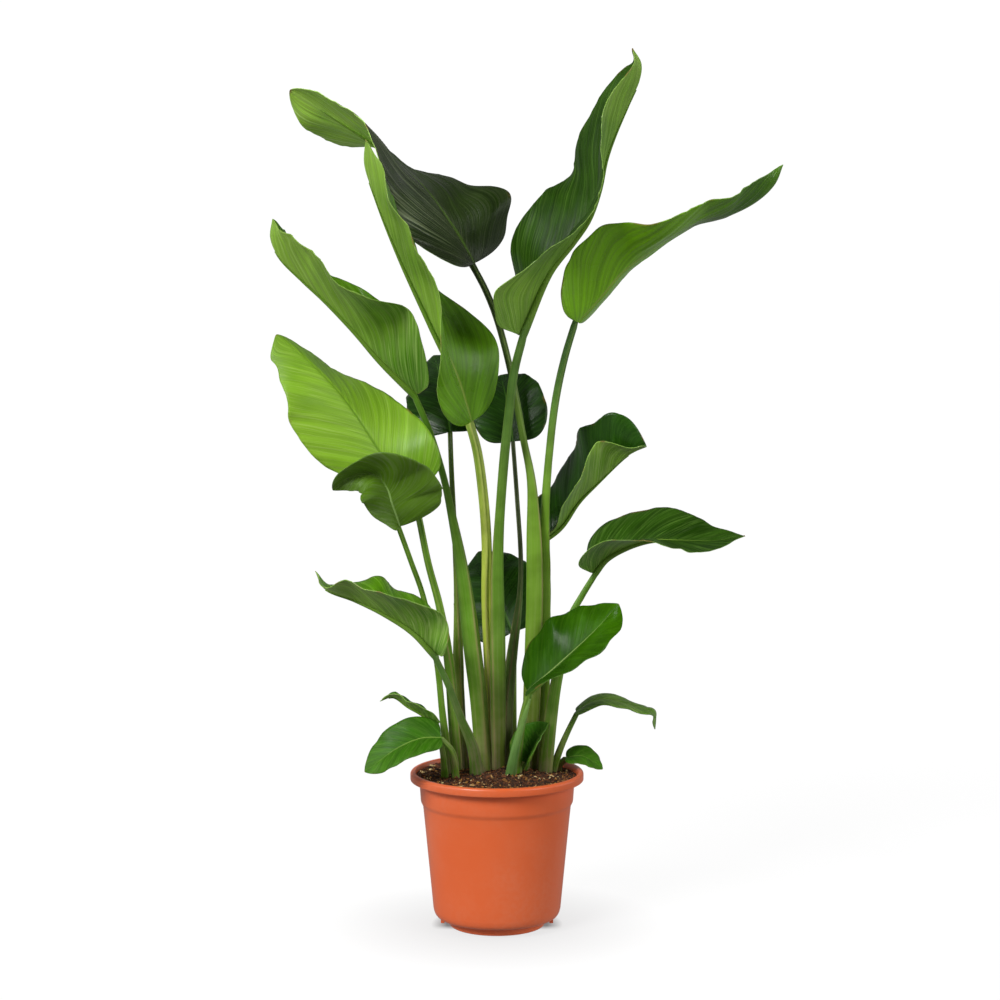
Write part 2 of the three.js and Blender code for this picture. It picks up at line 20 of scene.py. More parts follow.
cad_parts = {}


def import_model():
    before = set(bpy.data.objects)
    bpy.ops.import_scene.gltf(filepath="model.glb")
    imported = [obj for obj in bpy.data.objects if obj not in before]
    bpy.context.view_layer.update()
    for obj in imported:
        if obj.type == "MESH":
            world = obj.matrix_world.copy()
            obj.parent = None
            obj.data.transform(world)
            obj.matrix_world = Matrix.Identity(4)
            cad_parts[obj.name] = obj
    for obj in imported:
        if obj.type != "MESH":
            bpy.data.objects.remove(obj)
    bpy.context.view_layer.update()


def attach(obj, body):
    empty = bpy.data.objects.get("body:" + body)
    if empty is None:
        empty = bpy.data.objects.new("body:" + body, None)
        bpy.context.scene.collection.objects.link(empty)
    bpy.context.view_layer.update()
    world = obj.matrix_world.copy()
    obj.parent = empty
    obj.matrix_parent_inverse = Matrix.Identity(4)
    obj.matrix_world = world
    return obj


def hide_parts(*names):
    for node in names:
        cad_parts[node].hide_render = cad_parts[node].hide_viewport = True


LOG = logging.getLogger("potted_plant")

MM = 0.001
BODY = "root"
FRONT = np.array([0.0, -1.0, 0.0])

Spot = tuple[float, float]
Point = tuple[float, float, float]
Colour = tuple[float, float, float, float]
Face = tuple[int, ...]
Marks = dict[str, np.ndarray]
Piece = bpy.types.Object
Node = bpy.types.Node
Socket = bpy.types.NodeSocket


def tint(code: int) -> Colour:
    """Turn a display colour such as 0x6d9440 into a linear colour.

    Args:
        code: Red, green and blue as one hexadecimal number.

    Returns:
        The linear colour with an alpha of one.
    """
    parts = [((code >> shift) & 255) / 255 for shift in (16, 8, 0)]
    linear = [p / 12.92 if p <= 0.04045 else ((p + 0.055) / 1.055) ** 2.4 for p in parts]
    return (linear[0], linear[1], linear[2], 1.0)


def unit(vectors: np.ndarray) -> np.ndarray:
    """Scale each vector in an array to a length of one."""
    return vectors / np.maximum(np.linalg.norm(vectors, axis=-1, keepdims=True), 1e-9)


def smooth(low: float, high: float, value: np.ndarray) -> np.ndarray:
    """Rise smoothly from 0 at low to 1 at high."""
    t = np.clip((value - low) / (high - low), 0, 1)
    return t * t * (3 - 2 * t)


def along(values: Sequence[float], t: np.ndarray) -> np.ndarray:
    """Read an evenly spaced list smoothly.

    Args:
        values: At least two values, evenly spaced from t = 0 to t = 1.
        t: The places to read.

    Returns:
        The values there, on a curve that runs through every listed one.
    """
    listed = np.array(values, float)
    place = t * (len(listed) - 1)
    i = np.minimum(np.floor(place).astype(int), len(listed) - 2)
    f = place - i
    a, b, c = listed[np.maximum(i - 1, 0)], listed[i], listed[i + 1]
    d = listed[np.minimum(i + 2, len(listed) - 1)]
    start, end = (c - a) / 2, (d - b) / 2
    f2, f3 = f**2, f**3
    return (2 * f3 - 3 * f2 + 1) * b + (f3 - 2 * f2 + f) * start + (3 * f2 - 2 * f3) * c + (f3 - f2) * end


def wander(place: np.ndarray, seed: int) -> np.ndarray:
    """Read a smooth random line between -1 and 1, with about one turn for each unit.

    Args:
        place: Where to read it.
        seed: Which line to read.

    Returns:
        The line's values.
    """
    draw = random.Random(seed)
    table = np.array([draw.uniform(-1, 1) for _ in range(257)])
    cell = np.floor(place).astype(int)
    f = place - cell
    f = f * f * (3 - 2 * f)
    return table[cell % 256] * (1 - f) + table[(cell + 1) % 256] * f


def crests(place: np.ndarray, seed: int) -> np.ndarray:
    """Raise a narrow crest, 1 high, wherever a smooth random line crosses zero."""
    return np.clip(1 - 2.6 * np.abs(wander(place, seed)), 0, 1) ** 1.5


def line_at(value: np.ndarray, width: float) -> np.ndarray:
    """Draw a soft line, 1 high, where a value is zero."""
    return np.exp(-((value / width) ** 2))


def turned_from(angle: np.ndarray, start: np.ndarray) -> np.ndarray:
    """Return how far each angle lies from its row's start, between minus and plus half a turn."""
    return (angle[None] - start[:, None] + math.pi) % math.tau - math.pi


@dataclass
class SmoothLine:
    """A smooth line through points, read by the share of its length."""

    points: Sequence[Point]
    steps: int = 60
    spots: np.ndarray = field(init=False)
    reached: np.ndarray = field(init=False)
    length: float = field(init=False)

    def __post_init__(self) -> None:
        """Trace the line in short steps."""
        p = np.array(self.points, float)
        p = np.vstack([2 * p[0] - p[1], p, 2 * p[-1] - p[-2]])
        t = np.linspace(0, 1, self.steps, endpoint=False)[:, None]
        traced = []
        for p0, p1, p2, p3 in zip(p, p[1:], p[2:], p[3:]):
            d0, d1, d2 = (math.sqrt(np.linalg.norm(b - a)) for a, b in ((p0, p1), (p1, p2), (p2, p3)))
            start = ((p1 - p0) / d0 - (p2 - p0) / (d0 + d1) + (p2 - p1) / d1) * d1
            end = ((p2 - p1) / d1 - (p3 - p1) / (d1 + d2) + (p3 - p2) / d2) * d1
            curve = 2 * p1 - 2 * p2 + start + end
            bend = 3 * p2 - 3 * p1 - 2 * start - end
            traced.append(p1 + start * t + bend * t**2 + curve * t**3)
        self.spots = np.vstack([*traced, p[-2:-1]])
        strides = np.linalg.norm(np.diff(self.spots, axis=0), axis=1)
        self.reached = np.concatenate([[0], np.cumsum(strides)])
        self.length = float(self.reached[-1])

    def at(self, t: np.ndarray) -> np.ndarray:
        """Return the points at shares t of the length."""
        place = np.clip(t, 0, 1) * self.length
        return np.stack([np.interp(place, self.reached, self.spots[:, k]) for k in range(3)], -1)

    def forward(self, t: np.ndarray) -> np.ndarray:
        """Return the directions in which the line runs at shares t of the length."""
        step = 0.004
        return unit(self.at(np.minimum(t + step, 1)) - self.at(np.maximum(t - step, 0)))


def sides(forward: np.ndarray) -> tuple[np.ndarray, np.ndarray]:
    """Find the directions across a line and to its front."""
    across = unit(np.cross(forward, FRONT))
    return across, unit(np.cross(across, forward))


def build_mesh(
    name: str,
    points: np.ndarray,
    faces: Sequence[Sequence[int]],
    marks: Marks | None = None,
    slots: Sequence[int] | None = None,
    flat: Sequence[bool] | None = None,
) -> Piece:
    """Make a piece from points in millimetres.

    Args:
        name: The piece's name.
        points: One row for each point.
        faces: The points of each face.
        marks: Named numbers, one for each point, that the finish reads.
        slots: The finish slot of each face.
        flat: Which faces are shaded flat.

    Returns:
        The new object, already in the scene.
    """
    mesh = bpy.data.meshes.new(name)
    mesh.from_pydata((points * MM).tolist(), [], [list(face) for face in faces])
    for mark, values in (marks or {}).items():
        layer = mesh.attributes.new(mark, "FLOAT", "POINT")
        layer.data.foreach_set("value", np.asarray(values, np.float32).ravel())
    if slots is not None:
        mesh.polygons.foreach_set("material_index", list(slots))
    shaded = np.ones(len(faces), bool) if flat is None else ~np.array(flat)
    mesh.polygons.foreach_set("use_smooth", shaded)
    mesh.update()
    mesh.validate()
    piece = bpy.data.objects.new(name, mesh)
    bpy.context.scene.collection.objects.link(piece)
    return piece


def grid_marks(marks: Marks, shape: tuple[int, int], copies: int = 1) -> Marks:
    """Give each mark a value for every point of a grid, as often as the grid is used."""
    return {name: np.tile(np.broadcast_to(values, shape).ravel(), copies) for name, values in marks.items()}


def ring_faces(rings: int, count: int, start: int = 0) -> list[Face]:
    """List the side faces of a tube.

    Args:
        rings: How many rings it has.
        count: How many points each ring has.
        start: The first point of the first ring.

    Returns:
        Faces of four points, ring by ring.
    """
    faces: list[Face] = []
    for i in range(rings - 1):
        for k in range(count):
            a, b = start + i * count + k, start + i * count + (k + 1) % count
            faces.append((a, b, b + count, a + count))
    return faces


def tube_faces(rings: int, count: int) -> list[Face]:
    """List the faces of a tube with flat ends."""
    last = (rings - 1) * count
    return [*ring_faces(rings, count), tuple(range(count - 1, -1, -1)), tuple(range(last, last + count))]


def turned_faces(rings: int, count: int) -> list[Face]:
    """List the faces of a turned solid whose first and last points lie on its axis.

    Args:
        rings: How many rings lie between those two points.
        count: How many points each ring has.

    Returns:
        A fan, the side faces and a second fan.
    """
    last = 1 + (rings - 1) * count
    first_fan = [(0, 1 + (k + 1) % count, 1 + k) for k in range(count)]
    last_fan = [(last + k, last + (k + 1) % count, last + count) for k in range(count)]
    return [*first_fan, *ring_faces(rings, count, 1), *last_fan]


def tube_points(at: np.ndarray, across: np.ndarray, front: np.ndarray, angle: np.ndarray,
                wide: np.ndarray, deep: np.ndarray) -> np.ndarray:
    """Lay rings of points round a line.

    Args:
        at: The middle of each ring.
        across: The direction of each ring's width.
        front: The direction of each ring's depth.
        angle: Where the points lie round a ring, from its front.
        wide: Half the width at each point.
        deep: Half the depth at each point.

    Returns:
        The points, ring by ring.
    """
    ring = across[:, None] * (np.sin(angle) * wide)[..., None]
    ring = ring + front[:, None] * (np.cos(angle) * deep)[..., None]
    return (at[:, None] + ring).reshape(-1, 3)


class Wiring:
    """Short ways to add nodes to one node tree."""

    def __init__(self, tree: bpy.types.NodeTree) -> None:
        """Work on the given tree."""
        self.tree = tree

    def add(self, kind: str, inputs: dict[str | int, object] | None = None, **settings: object) -> Node:
        """Add a node.

        Args:
            kind: The node's type, without the word ShaderNode.
            inputs: A value or a socket for each named or numbered input.
            **settings: The node's own settings.

        Returns:
            The new node.
        """
        node = self.tree.nodes.new("ShaderNode" + kind)
        for key, value in settings.items():
            setattr(node, key, value)
        for key, value in (inputs or {}).items():
            if isinstance(value, bpy.types.NodeSocket):
                self.tree.links.new(value, node.inputs[key])
            else:
                node.inputs[key].default_value = value
        return node

    def mark(self, name: str) -> Socket:
        """Read one of the mesh's own named numbers."""
        return self.add("Attribute", attribute_name=name).outputs["Fac"]

    def math(self, operation: str, a: object, b: object = 0.0) -> Socket:
        """Work out one number from two."""
        return self.add("Math", {0: a, 1: b}, operation=operation).outputs[0]

    def times(self, a: object, b: object) -> Socket:
        """Multiply two numbers."""
        return self.math("MULTIPLY", a, b)

    def plus(self, a: object, b: object) -> Socket:
        """Add two numbers."""
        return self.math("ADD", a, b)

    def minus(self, a: object, b: object) -> Socket:
        """Take the second number from the first."""
        return self.math("SUBTRACT", a, b)

    def join(self, x: object, y: object, z: object) -> Socket:
        """Put three numbers together as a place."""
        return self.add("CombineXYZ", {0: x, 1: y, 2: z}).outputs[0]

    def place(self, scale: object = 1.0) -> Socket:
        """Return the place on the piece, scaled."""
        own = self.add("TexCoord").outputs["Object"]
        return self.add("VectorMath", {0: own, 3: scale}, operation="SCALE").outputs[0]

    def noise(self, place: object, detail: float) -> Socket:
        """Read a noise between 0 and 1."""
        return self.add("TexNoise", {"Vector": place, "Scale": 1.0, "Detail": detail}).outputs[0]

    def rise(self, value: object, low: object, high: object) -> Socket:
        """Rise smoothly from 0 at low to 1 at high."""
        inputs = {"Value": value, "From Min": low, "From Max": high}
        return self.add("MapRange", inputs, interpolation_type="SMOOTHSTEP").outputs[0]

    def ramp(self, value: object, low: float, high: float, start: float, end: float) -> Socket:
        """Run straight from start at low to end at high."""
        return self.add("MapRange", {0: value, 1: low, 2: high, 3: start, 4: end}).outputs[0]

    def spread(self, value: object, low: float, high: float) -> Socket:
        """Stretch a number between 0 and 1 to run from low to high."""
        return self.ramp(value, 0.0, 1.0, low, high)

    def blend(self, share: object, a: object, b: object) -> Socket:
        """Blend from colour a to colour b."""
        return self.add("Mix", {0: share, 6: a, 7: b}, data_type="RGBA").outputs[2]

    def shade(self, colour: object, factor: object) -> Socket:
        """Make a colour lighter or darker by a factor."""
        inputs = {0: 1.0, 6: colour, 7: self.join(factor, factor, factor)}
        return self.add("Mix", inputs, data_type="RGBA", blend_type="MULTIPLY").outputs[2]

    def bump(self, height: object, strength: float, depth: float) -> Socket:
        """Turn a height into a normal."""
        inputs = {"Height": height, "Strength": strength, "Distance": depth}
        return self.add("Bump", inputs).outputs[0]

    def dress(self, shader: Node, colour: Socket, rough: Socket, normal: Socket) -> None:
        """Give a shader its colour, roughness and normal."""
        for name, socket in (("Base Color", colour), ("Roughness", rough), ("Normal", normal)):
            self.tree.links.new(socket, shader.inputs[name])


class Effect(Enum):
    """The shared effects, each one node group that is built once."""

    VEINS = "leaf_veins"
    MOTTLE = "leaf_mottle"
    FIBRES = "stalk_fibres"
    GRAIN = "fine_grain"


def wire_veins(w: Wiring, into: Node) -> dict[str, Socket]:
    """Run fine streaks, broad bands and sharp ridges from the midrib to the margin.

    Args:
        w: The group's wiring.
        into: The group's inputs.

    Returns:
        The group's outputs.
    """
    def streaks(stretch: float, often: object, plane: float, detail: float) -> Socket:
        """Read a noise that is drawn out along the veins."""
        place = w.join(w.times(into.outputs["Across"], stretch), w.times(into.outputs["Vein"], often), plane)
        return w.noise(place, detail)

    def lines(values: Socket, width: float) -> Socket:
        """Draw a thin line where a noise crosses its middle."""
        off = w.math("ABSOLUTE", w.minus(values, 0.5))
        return w.minus(1.0, w.rise(off, 0.0, width))

    fine = lines(streaks(1.1, into.outputs["Fine"], 0.0, 1.0), 0.075)
    broad = w.rise(streaks(0.8, into.outputs["Broad"], 7.0, 1.0), 0.34, 0.66)
    ridge = lines(streaks(0.7, 1.7, 3.0, 0.0), 0.07)
    height = w.plus(w.plus(w.times(fine, 0.25), w.times(broad, 0.35)), w.times(ridge, 0.4))
    return {"Streak": fine, "Band": broad, "Ridge": ridge, "Height": height}


def wire_mottle(w: Wiring, into: Node) -> dict[str, Socket]:
    """Vary a tone slowly over the surface."""
    return {"Tone": w.rise(w.noise(w.place(into.outputs["Scale"]), 3.0), 0.3, 0.7)}


def wire_fibres(w: Wiring, into: Node) -> dict[str, Socket]:
    """Run fine fibres along a round stalk.

    Args:
        w: The group's wiring.
        into: The group's inputs.

    Returns:
        The group's outputs.
    """
    turn, fine = w.times(into.outputs["Around"], math.tau), into.outputs["Fine"]
    x, y = (w.times(w.math(wave, turn), fine) for wave in ("COSINE", "SINE"))
    return {"Streak": w.rise(w.noise(w.join(x, y, into.outputs["Along"]), 3.0), 0.35, 0.65)}


def wire_grain(w: Wiring, into: Node) -> dict[str, Socket]:
    """Give a fine even grain."""
    fine = w.noise(w.place(into.outputs["Scale"]), 4.0)
    return {"Tone": w.rise(fine, 0.35, 0.65), "Height": fine}


WIRE: dict[Effect, Callable[[Wiring, Node], dict[str, Socket]]] = {
    Effect.VEINS: wire_veins,
    Effect.MOTTLE: wire_mottle,
    Effect.FIBRES: wire_fibres,
    Effect.GRAIN: wire_grain,
}


def effect(w: Wiring, kind: Effect, **inputs: object) -> dict[str, Socket]:
    """Place a shared effect in a material, and build its group the first time.

    Args:
        w: The material's wiring.
        kind: Which effect.
        **inputs: A value or a socket for each of its inputs.

    Returns:
        The effect's outputs by name.
    """
    group = bpy.data.node_groups.get(kind.value)
    if group is None:
        group = bpy.data.node_groups.new(kind.value, "ShaderNodeTree")
        for name in inputs:
            group.interface.new_socket(name, in_out="INPUT", socket_type="NodeSocketFloat")
        into, out = group.nodes.new("NodeGroupInput"), group.nodes.new("NodeGroupOutput")
        for name, socket in WIRE[kind](Wiring(group), into).items():
            group.interface.new_socket(name, in_out="OUTPUT", socket_type="NodeSocketFloat")
            group.links.new(socket, out.inputs[name])
    return dict(w.add("Group", inputs, node_tree=group).outputs.items())


def new_material(name: str) -> tuple[bpy.types.Material, Wiring, Node]:
    """Start a material.

    Args:
        name: The material's name.

    Returns:
        The material, its wiring and its Principled shader.
    """
    material = bpy.data.materials.new(name)
    material.use_nodes = True
    return material, Wiring(material.node_tree), material.node_tree.nodes["Principled BSDF"]


@dataclass(frozen=True)
class Finish:
    """A material that is built the first time a piece asks for it."""

    name: str

    def material(self) -> bpy.types.Material:
        """Build the material, or find the one that is there.

        Returns:
            The material.
        """
        known = bpy.data.materials.get(self.name)
        if known is None:
            known, w, shader = new_material(self.name)
            self.wire(w, shader)
        return known

    def wire(self, w: Wiring, shader: Node) -> None:
        """Wire the material's nodes to its shader."""
        raise NotImplementedError


@dataclass(frozen=True)
class LeafFinish(Finish):
    """One face of a leaf blade: its greens, veins and gloss.

    ridge is how strongly the ridge lines are drawn in the vein colour: partly the veins' own
    paler colour and partly a painted sheen on the pleat crests. calm is the share of that
    painted sheen that the right half keeps, and rib_end the place along the blade where the
    midrib's colour has faded out.
    """

    deep: int
    light: int
    vein: int
    rib: int
    rib_width: float = 0.03
    streak: float = 0.25
    band: float = 0.3
    ridge: float = 0.3
    gloss: float = 0.3
    relief: float = 0.3
    rib_end: float = 1.3
    calm: float = 1.0
    shine: float = 0.3

    FINE_VEINS = 3.4
    BROAD_VEINS = 1.1
    CLOUDS = 16.0
    DRY = 0x8A6A3A
    DEPTH = 0.0012

    def wire(self, w: Wiring, shader: Node) -> None:
        """Wire the blade's nodes to its shader.

        Args:
            w: The material's wiring.
            shader: The material's shader.
        """
        across, place, dry = w.mark("across"), w.mark("along"), w.mark("dry")
        reach = w.math("ABSOLUTE", across)
        veins = effect(w, Effect.VEINS, Across=across, Vein=w.mark("vein"), Fine=self.FINE_VEINS,
                       Broad=self.BROAD_VEINS)
        mottle = effect(w, Effect.MOTTLE, Scale=self.CLOUDS)["Tone"]
        tone = w.plus(w.mark("tone"), w.times(w.minus(mottle, 0.5), 0.35))
        green = w.blend(w.rise(tone, 0.0, 1.0), tint(self.deep), tint(self.light))
        # painted sheen: the ridge lines pale the green towards the vein colour, fully on the left half and by
        # calm on the right
        ridge_sheen_share = w.spread(w.rise(across, -0.05, 0.15), self.ridge, self.ridge * self.calm)
        ridges = w.times(veins["Ridge"], ridge_sheen_share)
        green = w.blend(w.plus(w.times(veins["Streak"], self.streak), ridges), green, tint(self.vein))
        green = w.shade(green, w.spread(veins["Band"], 1 - self.band / 2, 1 + self.band / 2))
        narrow = w.times(w.minus(1.08, place), self.rib_width)
        rib = w.minus(1.0, w.rise(reach, w.times(narrow, 0.5), w.times(narrow, 1.4)))
        fade = w.spread(w.rise(place, self.rib_end - 0.2, self.rib_end), 0.85, 0.0)
        green = w.blend(w.times(rib, fade), green, tint(self.rib))
        green = w.blend(w.times(w.rise(reach, 0.98, 1.0), 0.25), green, tint(self.vein))
        green = w.blend(w.times(dry, w.rise(mottle, 0.25, 0.75)), green, tint(self.DRY))
        shader.inputs["Specular IOR Level"].default_value = self.shine
        rough = w.spread(mottle, self.gloss - 0.05, self.gloss + 0.08)
        w.dress(shader, green, rough, w.bump(veins["Height"], self.relief, self.DEPTH))


@dataclass(frozen=True)
class StalkFinish(Finish):
    """A stalk's greens, from the soil to the blade."""

    foot: int
    middle: int
    top: int
    streak: int
    turn: tuple[float, float] = (0.55, 0.95)

    BLUSH = 0x8C7A66
    RIB = 0x6E9430
    SEAM = 0xA08A62
    GLOSS = 0.4
    SHINE = 0.26
    FIBRES = 3.2
    CLOUDS = 30.0
    DEPTH = 0.0006

    def wire(self, w: Wiring, shader: Node) -> None:
        """Wire the stalk's nodes to its shader.

        Args:
            w: The material's wiring.
            shader: The material's shader.
        """
        place = w.mark("along")
        fibres = effect(w, Effect.FIBRES, Around=w.mark("around"), Along=w.times(place, 5.0),
                        Fine=self.FIBRES)["Streak"]
        mottle = effect(w, Effect.MOTTLE, Scale=self.CLOUDS)["Tone"]
        low = w.times(w.mark("foot"), w.rise(w.plus(fibres, mottle), 0.5, 1.5))
        green = w.blend(w.rise(place, 0.05, 0.45), tint(self.foot), tint(self.middle))
        green = w.blend(w.rise(place, *self.turn), green, tint(self.top))
        green = w.blend(w.times(fibres, 0.3), green, tint(self.streak))
        green = w.blend(w.times(w.mark("edge"), 0.55), green, tint(self.streak))
        green = w.blend(w.times(low, 0.8), green, tint(self.BLUSH))
        green = w.shade(green, w.spread(mottle, 0.85, 1.12))
        green = w.blend(w.times(w.mark("seam"), w.spread(mottle, 0.45, 0.95)), green, tint(self.SEAM))
        green = w.blend(w.mark("rib"), green, tint(self.RIB))
        shader.inputs["Specular IOR Level"].default_value = self.SHINE
        rough = w.spread(mottle, self.GLOSS - 0.06, self.GLOSS + 0.1)
        w.dress(shader, green, rough, w.bump(fibres, 0.25, self.DEPTH))


@dataclass(frozen=True)
class PlasticFinish(Finish):
    """The pot's moulded plastic, faintly mottled and dusty."""

    name: str = "terracotta_plastic"
    colour: int = 0xE26532
    faded: int = 0xE8784E
    dust: int = 0xD9B59C
    gloss: float = 0.3
    shine: float = 0.45

    def wire(self, w: Wiring, shader: Node) -> None:
        """Wire the plastic's nodes to its shader.

        Args:
            w: The material's wiring.
            shader: The material's shader.
        """
        cloud, specks = (effect(w, Effect.MOTTLE, Scale=scale)["Tone"] for scale in (9.0, 160.0))
        grain = effect(w, Effect.GRAIN, Scale=900.0)
        colour = w.blend(w.times(cloud, 0.3), tint(self.colour), tint(self.faded))
        colour = w.blend(w.times(w.times(specks, cloud), 0.06), colour, tint(self.dust))
        shader.inputs["Specular IOR Level"].default_value = self.shine
        rough = w.spread(specks, self.gloss - 0.02, self.gloss + 0.05)
        w.dress(shader, colour, rough, w.bump(grain["Height"], 0.12, 0.0003))


@dataclass(frozen=True)
class SoilFinish(Finish):
    """Damp bark and peat, or the loose bits that lie on it."""

    dark: int
    brown: int
    tan: int
    pale: int

    def wire(self, w: Wiring, shader: Node) -> None:
        """Wire the soil's nodes to its shader.

        Args:
            w: The material's wiring.
            shader: The material's shader.
        """
        grain = effect(w, Effect.GRAIN, Scale=260.0)
        bit, colour = w.mark("bit"), tint(self.dark)
        steps = ((0.05, 0.6, self.brown), (0.78, 0.9, self.tan), (0.955, 0.975, self.pale))
        for low, high, code in steps:
            colour = w.blend(w.rise(bit, low, high), colour, tint(code))
        colour = w.shade(colour, w.spread(grain["Tone"], 0.6, 1.35))
        w.dress(shader, colour, w.spread(grain["Tone"], 0.75, 0.95), w.bump(grain["Height"], 0.5, 0.0015))


# NIGHT's grey vein colour and its dense ridges on the left half are a painted sheen on leaf_01's pleats.
NIGHT = LeafFinish("night_green", 0x182A04, 0x344C10, 0x66724E, 0x4C6A1C, ridge=0.9, streak=0.15, calm=0.2)
DEEP = LeafFinish("deep_green", 0x112E03, 0x2A580A, 0x3E6A1C, 0x4C7A22, ridge=0.25)
FOREST = LeafFinish("forest_green", 0x1B3A02, 0x345C08, 0x54782C, 0x7A9C3A, ridge=0.4, gloss=0.4, shine=0.12)
GRASS = LeafFinish("grass_green", 0x356602, 0x6EAA0C, 0x84AE40, 0x9CB84C)
PLAIN = LeafFinish("plain_green", 0x2C5E06, 0x4A7E12, 0x628A34, 0x7FA044, gloss=0.46, ridge=0.2, shine=0.15)
# The spring green below is partly the leaf's own colour and partly painted light, standing in for the direct
# light on leaf_06.
SPRING = LeafFinish("spring_green", 0x5C900C, 0x86B428, 0xA8CA5C, 0x6A961C, gloss=0.42, streak=0.12,
                    band=0.22, ridge=0.35)
SHINY = LeafFinish("shiny_green", 0x356602, 0x7CBA0E, 0x84AE40, 0x9CB84C, streak=0.15, gloss=0.22, shine=0.32)
GLOSSY = LeafFinish("glossy_green", 0x224A02, 0x4C8608, 0x54801C, 0x8CA85C, streak=0.1, band=0.2,
                    ridge=0.12, gloss=0.25, relief=0.14, shine=0.08)
DULL = LeafFinish("dull_green", 0x4A6E0C, 0x628C14, 0x7E9062, 0x98BC68, streak=0.15, band=0.15,
                  ridge=0.2, gloss=0.5, rib_end=0.5)
# The next finish is a lighter copy of the underside green: painted light for leaf_01's undersides, which face
# down into shade.
LIGHTENED_BACK = LeafFinish("lightened_underside", 0x7EBC18, 0xC0EE50, 0xD4F0A0, 0xB4DC70, streak=0.35, gloss=0.42)
PALE_BACK = LeafFinish("pale_underside", 0x4A7E0E, 0x88B634, 0xA8C470, 0x8FB04C, streak=0.35, gloss=0.42)
SOFT_BACK = LeafFinish("soft_underside", 0x33600A, 0x5E941C, 0x7CA04C, 0x86A84A, streak=0.3, gloss=0.42)

PLAIN_STALK = StalkFinish("plain_stalk", 0x6C8A2C, 0x5E921C, 0x4E8018, 0x94B04A)
BRIGHT_STALK = StalkFinish("bright_stalk", 0x98A04C, 0xBACE42, 0x74942E, 0xC8D070)
PALE_STALK = StalkFinish("pale_stalk", 0x6E7C30, 0x5A861E, 0x50762E, 0x7C9A44)
SHEATH_STALK = StalkFinish("sheath_stalk", 0x6E8A20, 0x7AAA24, 0x44702C, 0x86A050)
SOFT_STALK = StalkFinish("soft_stalk", 0x70843E, 0x5A842C, 0x4C7A28, 0x8A9A60)
# The near-black tops of GREY_STALK and DARK_STALK are painted shade, where the upper stalks of leaf_08 and
# leaf_01 stand in shadow.
GREY_STALK = StalkFinish("grey_stalk", 0x6E7444, 0x688A3A, 0x16260A, 0x8E9C6A, turn=(0.5, 0.74))
OLIVE_STALK = StalkFinish("olive_stalk", 0x48560A, 0x5E7C14, 0x24400C, 0x748E28)
DARK_STALK = StalkFinish("dark_stalk", 0x5F6C20, 0x6C9622, 0x1A2A0A, 0x88A44A)


